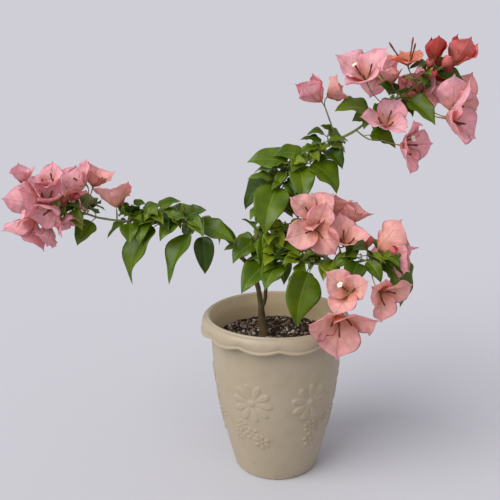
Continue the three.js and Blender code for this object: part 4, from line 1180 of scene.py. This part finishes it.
petals = bmesh.new()
draw = draws(88)
for triad in triads:
    spray = ROSE if draw(0, 1) < ROSE_SHARE[triad["mass"] in ROSIER] else SALMON
    if triad["number"] == BUD:
        spray = CORAL
    spray = TINTED_TRIADS.get((triad["mass"], triad["number"]), spray)
    shut = max(0, 1 - triad["opening"] / SHUT_BELOW)
    for _, own, frame_at in triad["bracts"]:
        waves = draw(1.2, 2.4)
        phase = draw(0, 6.3)
        tip_bend = draw(-0.03, 0.1) - 0.27 * shut
        pinwheel = draw(0.12, 0.3)
        wrap = math.radians(74 - 24 * triad["opening"] + draw(-8, 8))
        twist = math.radians(draw(-16, 16))
        crease = draw(0.1, 0.26) * (1 - shut)
        rough = Vector((draw(0, 50), draw(0, 50), 0))

        def place(t, v, side):
            at, _, across, up = frame_at(v)
            across, up = turned(across, up, twist * v * v)
            half = own * BRACT_WIDTH * bract_outline(v) / 2
            bow = wrap * (1 - (0.85 - 0.45 * shut) * smooth(0.1, 0.85, v))
            lift = half * (1 - math.cos(bow * t)) / bow + crease * half * (math.sqrt(t * t + 0.03) - 0.17)
            edge = abs(t) ** 3 * smooth(0, 0.3, v) * (1 - 0.7 * shut)
            wave = BRACT_WAVE * math.sin(2 * math.pi * waves * v + phase + (2.2 if t < 0 else 0))
            wave += BRACT_FINE_WAVE * math.sin(
                2 * math.pi * 2.7 * waves * v + 1.7 * phase + (1.1 if t < 0 else 0))
            lean = pinwheel * half * t * (1 - 0.6 * v)
            flat = (1 - t * t) * min(1, 4 * (1 - v))
            bulge = BRACT_BULGE * own * between_veins(t, v, BRACT_VEINS, BRACT_SWEEP) * flat
            pleat = BRACT_BULGE * own * math.cos(3 * math.pi * t + phase) * smooth(0, 0.3, v) * flat
            ends = min(1, 5 * v, 0.15 + 3 * (1 - v))
            crinkle = BRACT_CRINKLE * own * noise.noise(rough + Vector((2.4 * t, 5 * v, 0))) * ends
            back = -own * tip_bend * smooth(0.5 - 0.3 * shut, 1.05, v) ** (2 - 0.5 * shut)
            thick = BRACT_THICKNESS * thin_out(t, v)
            height = lift + wave * half * edge + lean + bulge + pleat + crinkle + back + side * thick / 2
            return at + across * (half * math.sin(bow * t) / bow) + up * height

        thin_blade(petals, BRACT_ACROSS, spread(BRACT_ROWS), place, lambda t, side: 2 * spray + (side < 0))

# Bougainvillea bract: dry and papery, matt, with a fine raised net of veins. It is thin enough to glow
# with light behind it. The colour is palest and yellowest at the base and pinkest along the edges.
bract_skins = []
for kind, main, edge, base, vein in (
    ("salmon", "fbcdc1", "f9c0c5", "efa986", "d88f7f"), ("rose", "fdd3d6", "fcc6d2", "f0ab93", "da8b90"),
    ("coral", "ee9486", "ec858c", "e4926a", "c56258"), ("scarlet", "d95c4e", "d8535b", "dc7a50", "aa403a"),
    ("orange", "f6a783", "f8b2a4", "e4763f", "cc6139"),
):
    for part, shade in (("face", 1.0), ("back", 0.98)):
        bract_skin, tree, skin = begin_material(f"bract_{kind}_{part}")
        flat, along, aside, near = vein_places(tree, BRACT_VEINS, BRACT_SWEEP)
        middle = add(tree, "MapRange", {"Value": aside, "From Min": 0.024, "From Max": 0.008}).outputs[0]
        line = add(tree, "MapRange", {"Value": near, "From Min": 0.05, "From Max": 0.01, "To Max": 0.8})
        stretched = add(tree, "Mapping", {"Vector": flat, "Scale": (9, 12, 1)}).outputs[0]
        cells = add(tree, "TexVoronoi", {"Vector": stretched, "Scale": 1},
                    voronoi_dimensions="2D", feature="DISTANCE_TO_EDGE").outputs["Distance"]
        net = add(tree, "MapRange", {"Value": cells, "From Min": 0.08, "From Max": 0.0, "To Max": 0.4})
        most = add(tree, "Math", {0: line.outputs[0], 1: middle}, operation="MAXIMUM").outputs[0]
        veins = add(tree, "Math", {0: most, 1: net.outputs[0]}, operation="MAXIMUM").outputs[0]
        rim = add(tree, "MapRange", {"Value": aside, "From Min": 0.2, "From Max": 0.5},
                  interpolation_type="SMOOTHSTEP").outputs[0]
        tip = add(tree, "MapRange", {"Value": along, "From Min": 0.5, "From Max": 1}).outputs[0]
        pinker = add(tree, "Math", {0: rim, 1: tip}, operation="MAXIMUM").outputs[0]
        where = add(tree, "TexCoord", {}).outputs["Object"]
        cloud = add(tree, "TexNoise", {"Vector": where, "Scale": 1 / (9 * MM), "Detail": 3}).outputs["Fac"]
        patchy = add(tree, "Math", {0: pinker, 1: cloud}, operation="MULTIPLY").outputs[0]
        spread_out = add(tree, "Math", {0: patchy, 1: 1.7}, operation="MULTIPLY", use_clamp=True).outputs[0]
        washed = add(tree, "Mix", {0: spread_out, 6: tint(main), 7: tint(edge)}, data_type="RGBA").outputs[2]
        low = add(tree, "MapRange", {"Value": along, "From Min": 0.4, "From Max": 0.03}).outputs[0]
        based = add(tree, "Mix", {0: low, 6: washed, 7: tint(base)}, data_type="RGBA").outputs[2]
        share = add(tree, "Math", {0: veins, 1: 0.5}, operation="MULTIPLY").outputs[0]
        veined = add(tree, "Mix", {0: share, 6: based, 7: tint(vein)}, data_type="RGBA").outputs[2]
        uneven = add(tree, "MapRange", {"Value": cloud, "From Min": 0.3, "From Max": 0.7,
                                        "To Min": 0.86 * shade, "To Max": 1.08 * shade}).outputs[0]
        colour = add(tree, "HueSaturation", {"Color": veined, "Value": uneven}).outputs[0]
        raised = add(tree, "Bump", {"Height": veins, "Strength": 0.6, "Distance": 0.3 * MM},
                     invert=part == "face").outputs[0]
        paper = add(tree, "TexNoise", {"Vector": where, "Scale": 1 / (2.4 * MM), "Detail": 4}).outputs["Fac"]
        crisp = add(tree, "Bump", {"Height": paper, "Strength": 0.35, "Distance": 0.5 * MM,
                                   "Normal": raised}).outputs[0]
        feed(tree, skin, {"Base Color": colour, "Roughness": 0.62, "Specular IOR Level": 0.35,
                          "Normal": crisp})
        warm = add(tree, "HueSaturation", {"Color": colour, "Hue": 0.512, "Saturation": 1.28}).outputs[0]
        glow = add(tree, "BsdfTranslucent", {"Color": warm, "Normal": raised})
        both = add(tree, "MixShader", {0: 0.46, 1: skin.outputs[0], 2: glow.outputs[0]})
        feed(tree, tree.nodes["Material Output"], {"Surface": both.outputs[0]})
        bract_skins.append(bract_skin)

bract_piece = to_object("bracts", petals, *bract_skins)
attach(bract_piece, "root")
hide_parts("left_sprig", "left_blossom", "upper_sprig", "low_sprig", "upper_blossom",
            "mid_blossom", "hanging_sprig", "right_blossom")


# The flowers: three slim dark tubes to each triad, each borne on a bract's midrib and standing clear of
# it, most still shut. A few are open and show a small cream star.

TUBE_LENGTH = 0.46
TUBE_RADIUS = 1.02
TUBE_FROM = 1.9
# Shares of the radius from a tube's foot to its tip
TUBE_SWELL = (0.6, 0.9, 1.1, 1.15, 1.05, 0.9, 0.82, 0.84, 0.95, 1.12, 1.1, 0.6)
SLEEVE_ROWS = 4
SLEEVE_SWELL = 1.04
LONG_TUBES = {("upper_blossom", 1): 2.5}
STAR_RADIUS = 3.2
# Radius and height of the star's rings
STAR_RINGS = ((1, 0.8), (2.2, 1.3), (STAR_RADIUS, 0.9))
STAR_THICKNESS = 0.25
STARS = {("upper_blossom", 0, 1), ("low_sprig", 0, 1), ("hanging_sprig", 1, 1)}

tubes = bmesh.new()
stars = bmesh.new()
for triad in triads:
    if triad["number"] == BUD:
        continue
    for number, (around, own, _) in enumerate(triad["bracts"]):
        lean = math.radians(14 + 24 * triad["opening"])
        going = triad["axis"] * math.cos(lean) + around * math.sin(lean)
        length = own * TUBE_LENGTH * LONG_TUBES.get((triad["mass"], triad["number"]), 1)
        foot = triad["centre"] + around * TUBE_FROM + triad["axis"] * 0.8
        shares = [k / (len(TUBE_SWELL) - 1) for k in range(len(TUBE_SWELL))]
        path = [foot + going * (length * s) + around * (0.9 * math.sin(math.pi * s)) for s in shares]
        rod(tubes, path, [TUBE_RADIUS * w for w in TUBE_SWELL], FLOWER_SIDES)
        sleeve = [SLEEVE_SWELL * TUBE_RADIUS * w for w in TUBE_SWELL[:SLEEVE_ROWS]] + [0.7 * TUBE_RADIUS]
        rod(tubes, path[:SLEEVE_ROWS + 1], sleeve, FLOWER_SIDES, 1)
        if (triad["mass"], triad["number"], number) in STARS:
            star = bmesh.new()
            rim = bmesh.ops.create_circle(star, segments=30, radius=0.6)["verts"]
            for radius, height in STAR_RINGS:
                outer = [edge for edge in star.edges if all(vert in rim for vert in edge.verts)]
                grown = bmesh.ops.extrude_edge_only(star, edges=outer)["geom"]
                rim = [part for part in grown if isinstance(part, bmesh.types.BMVert)]
                for vert in rim:
                    angle = math.atan2(vert.co.y, vert.co.x)
                    out = radius * (1 + 0.14 * (radius / STAR_RADIUS) ** 3 * math.cos(5 * angle))
                    vert.co = (out * math.cos(angle), out * math.sin(angle), height)
            bmesh.ops.recalc_face_normals(star, faces=star.faces)
            bmesh.ops.solidify(star, geom=star.faces[:], thickness=STAR_THICKNESS)
            stand = Matrix.Translation(path[-1] * MM) @ UP.rotation_difference(going).to_matrix().to_4x4()
            star.transform(stand @ Matrix.Scale(MM, 4))
            join_in(stars, star)

# Flower tube: downy and dark maroon, greener on the sleeve at its foot. The star is a matt waxy cream.
flower_skins = []
for name, darker, lighter in (
    ("flower_tube_maroon", "56261c", "87483a"), ("flower_sleeve_olive", "7a5636", "9a8449"),
    ("corolla_cream", "efe3c2", "f6f0dd"),
):
    flower_skin, tree, skin = begin_material(name)
    where = add(tree, "TexCoord", {}).outputs["Object"]
    uneven = add(tree, "TexNoise", {"Vector": where, "Scale": 1 / (6 * MM), "Detail": 3}).outputs["Fac"]
    colour = add(tree, "Mix", {0: uneven, 6: tint(darker), 7: tint(lighter)}, data_type="RGBA").outputs[2]
    downy = add(tree, "TexNoise", {"Vector": where, "Scale": 1 / (0.6 * MM), "Detail": 3}).outputs["Fac"]
    fuzz = add(tree, "Bump", {"Height": downy, "Strength": 0.4, "Distance": 0.2 * MM}).outputs[0]
    feed(tree, skin, {"Base Color": colour, "Roughness": 0.72, "Normal": fuzz})
    flower_skins.append(flower_skin)

tube_piece = to_object("flower_tubes", tubes, *flower_skins[:2])
star_piece = to_object("flower_stars", stars, flower_skins[2])
for piece in (tube_piece, star_piece):
    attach(piece, "root")
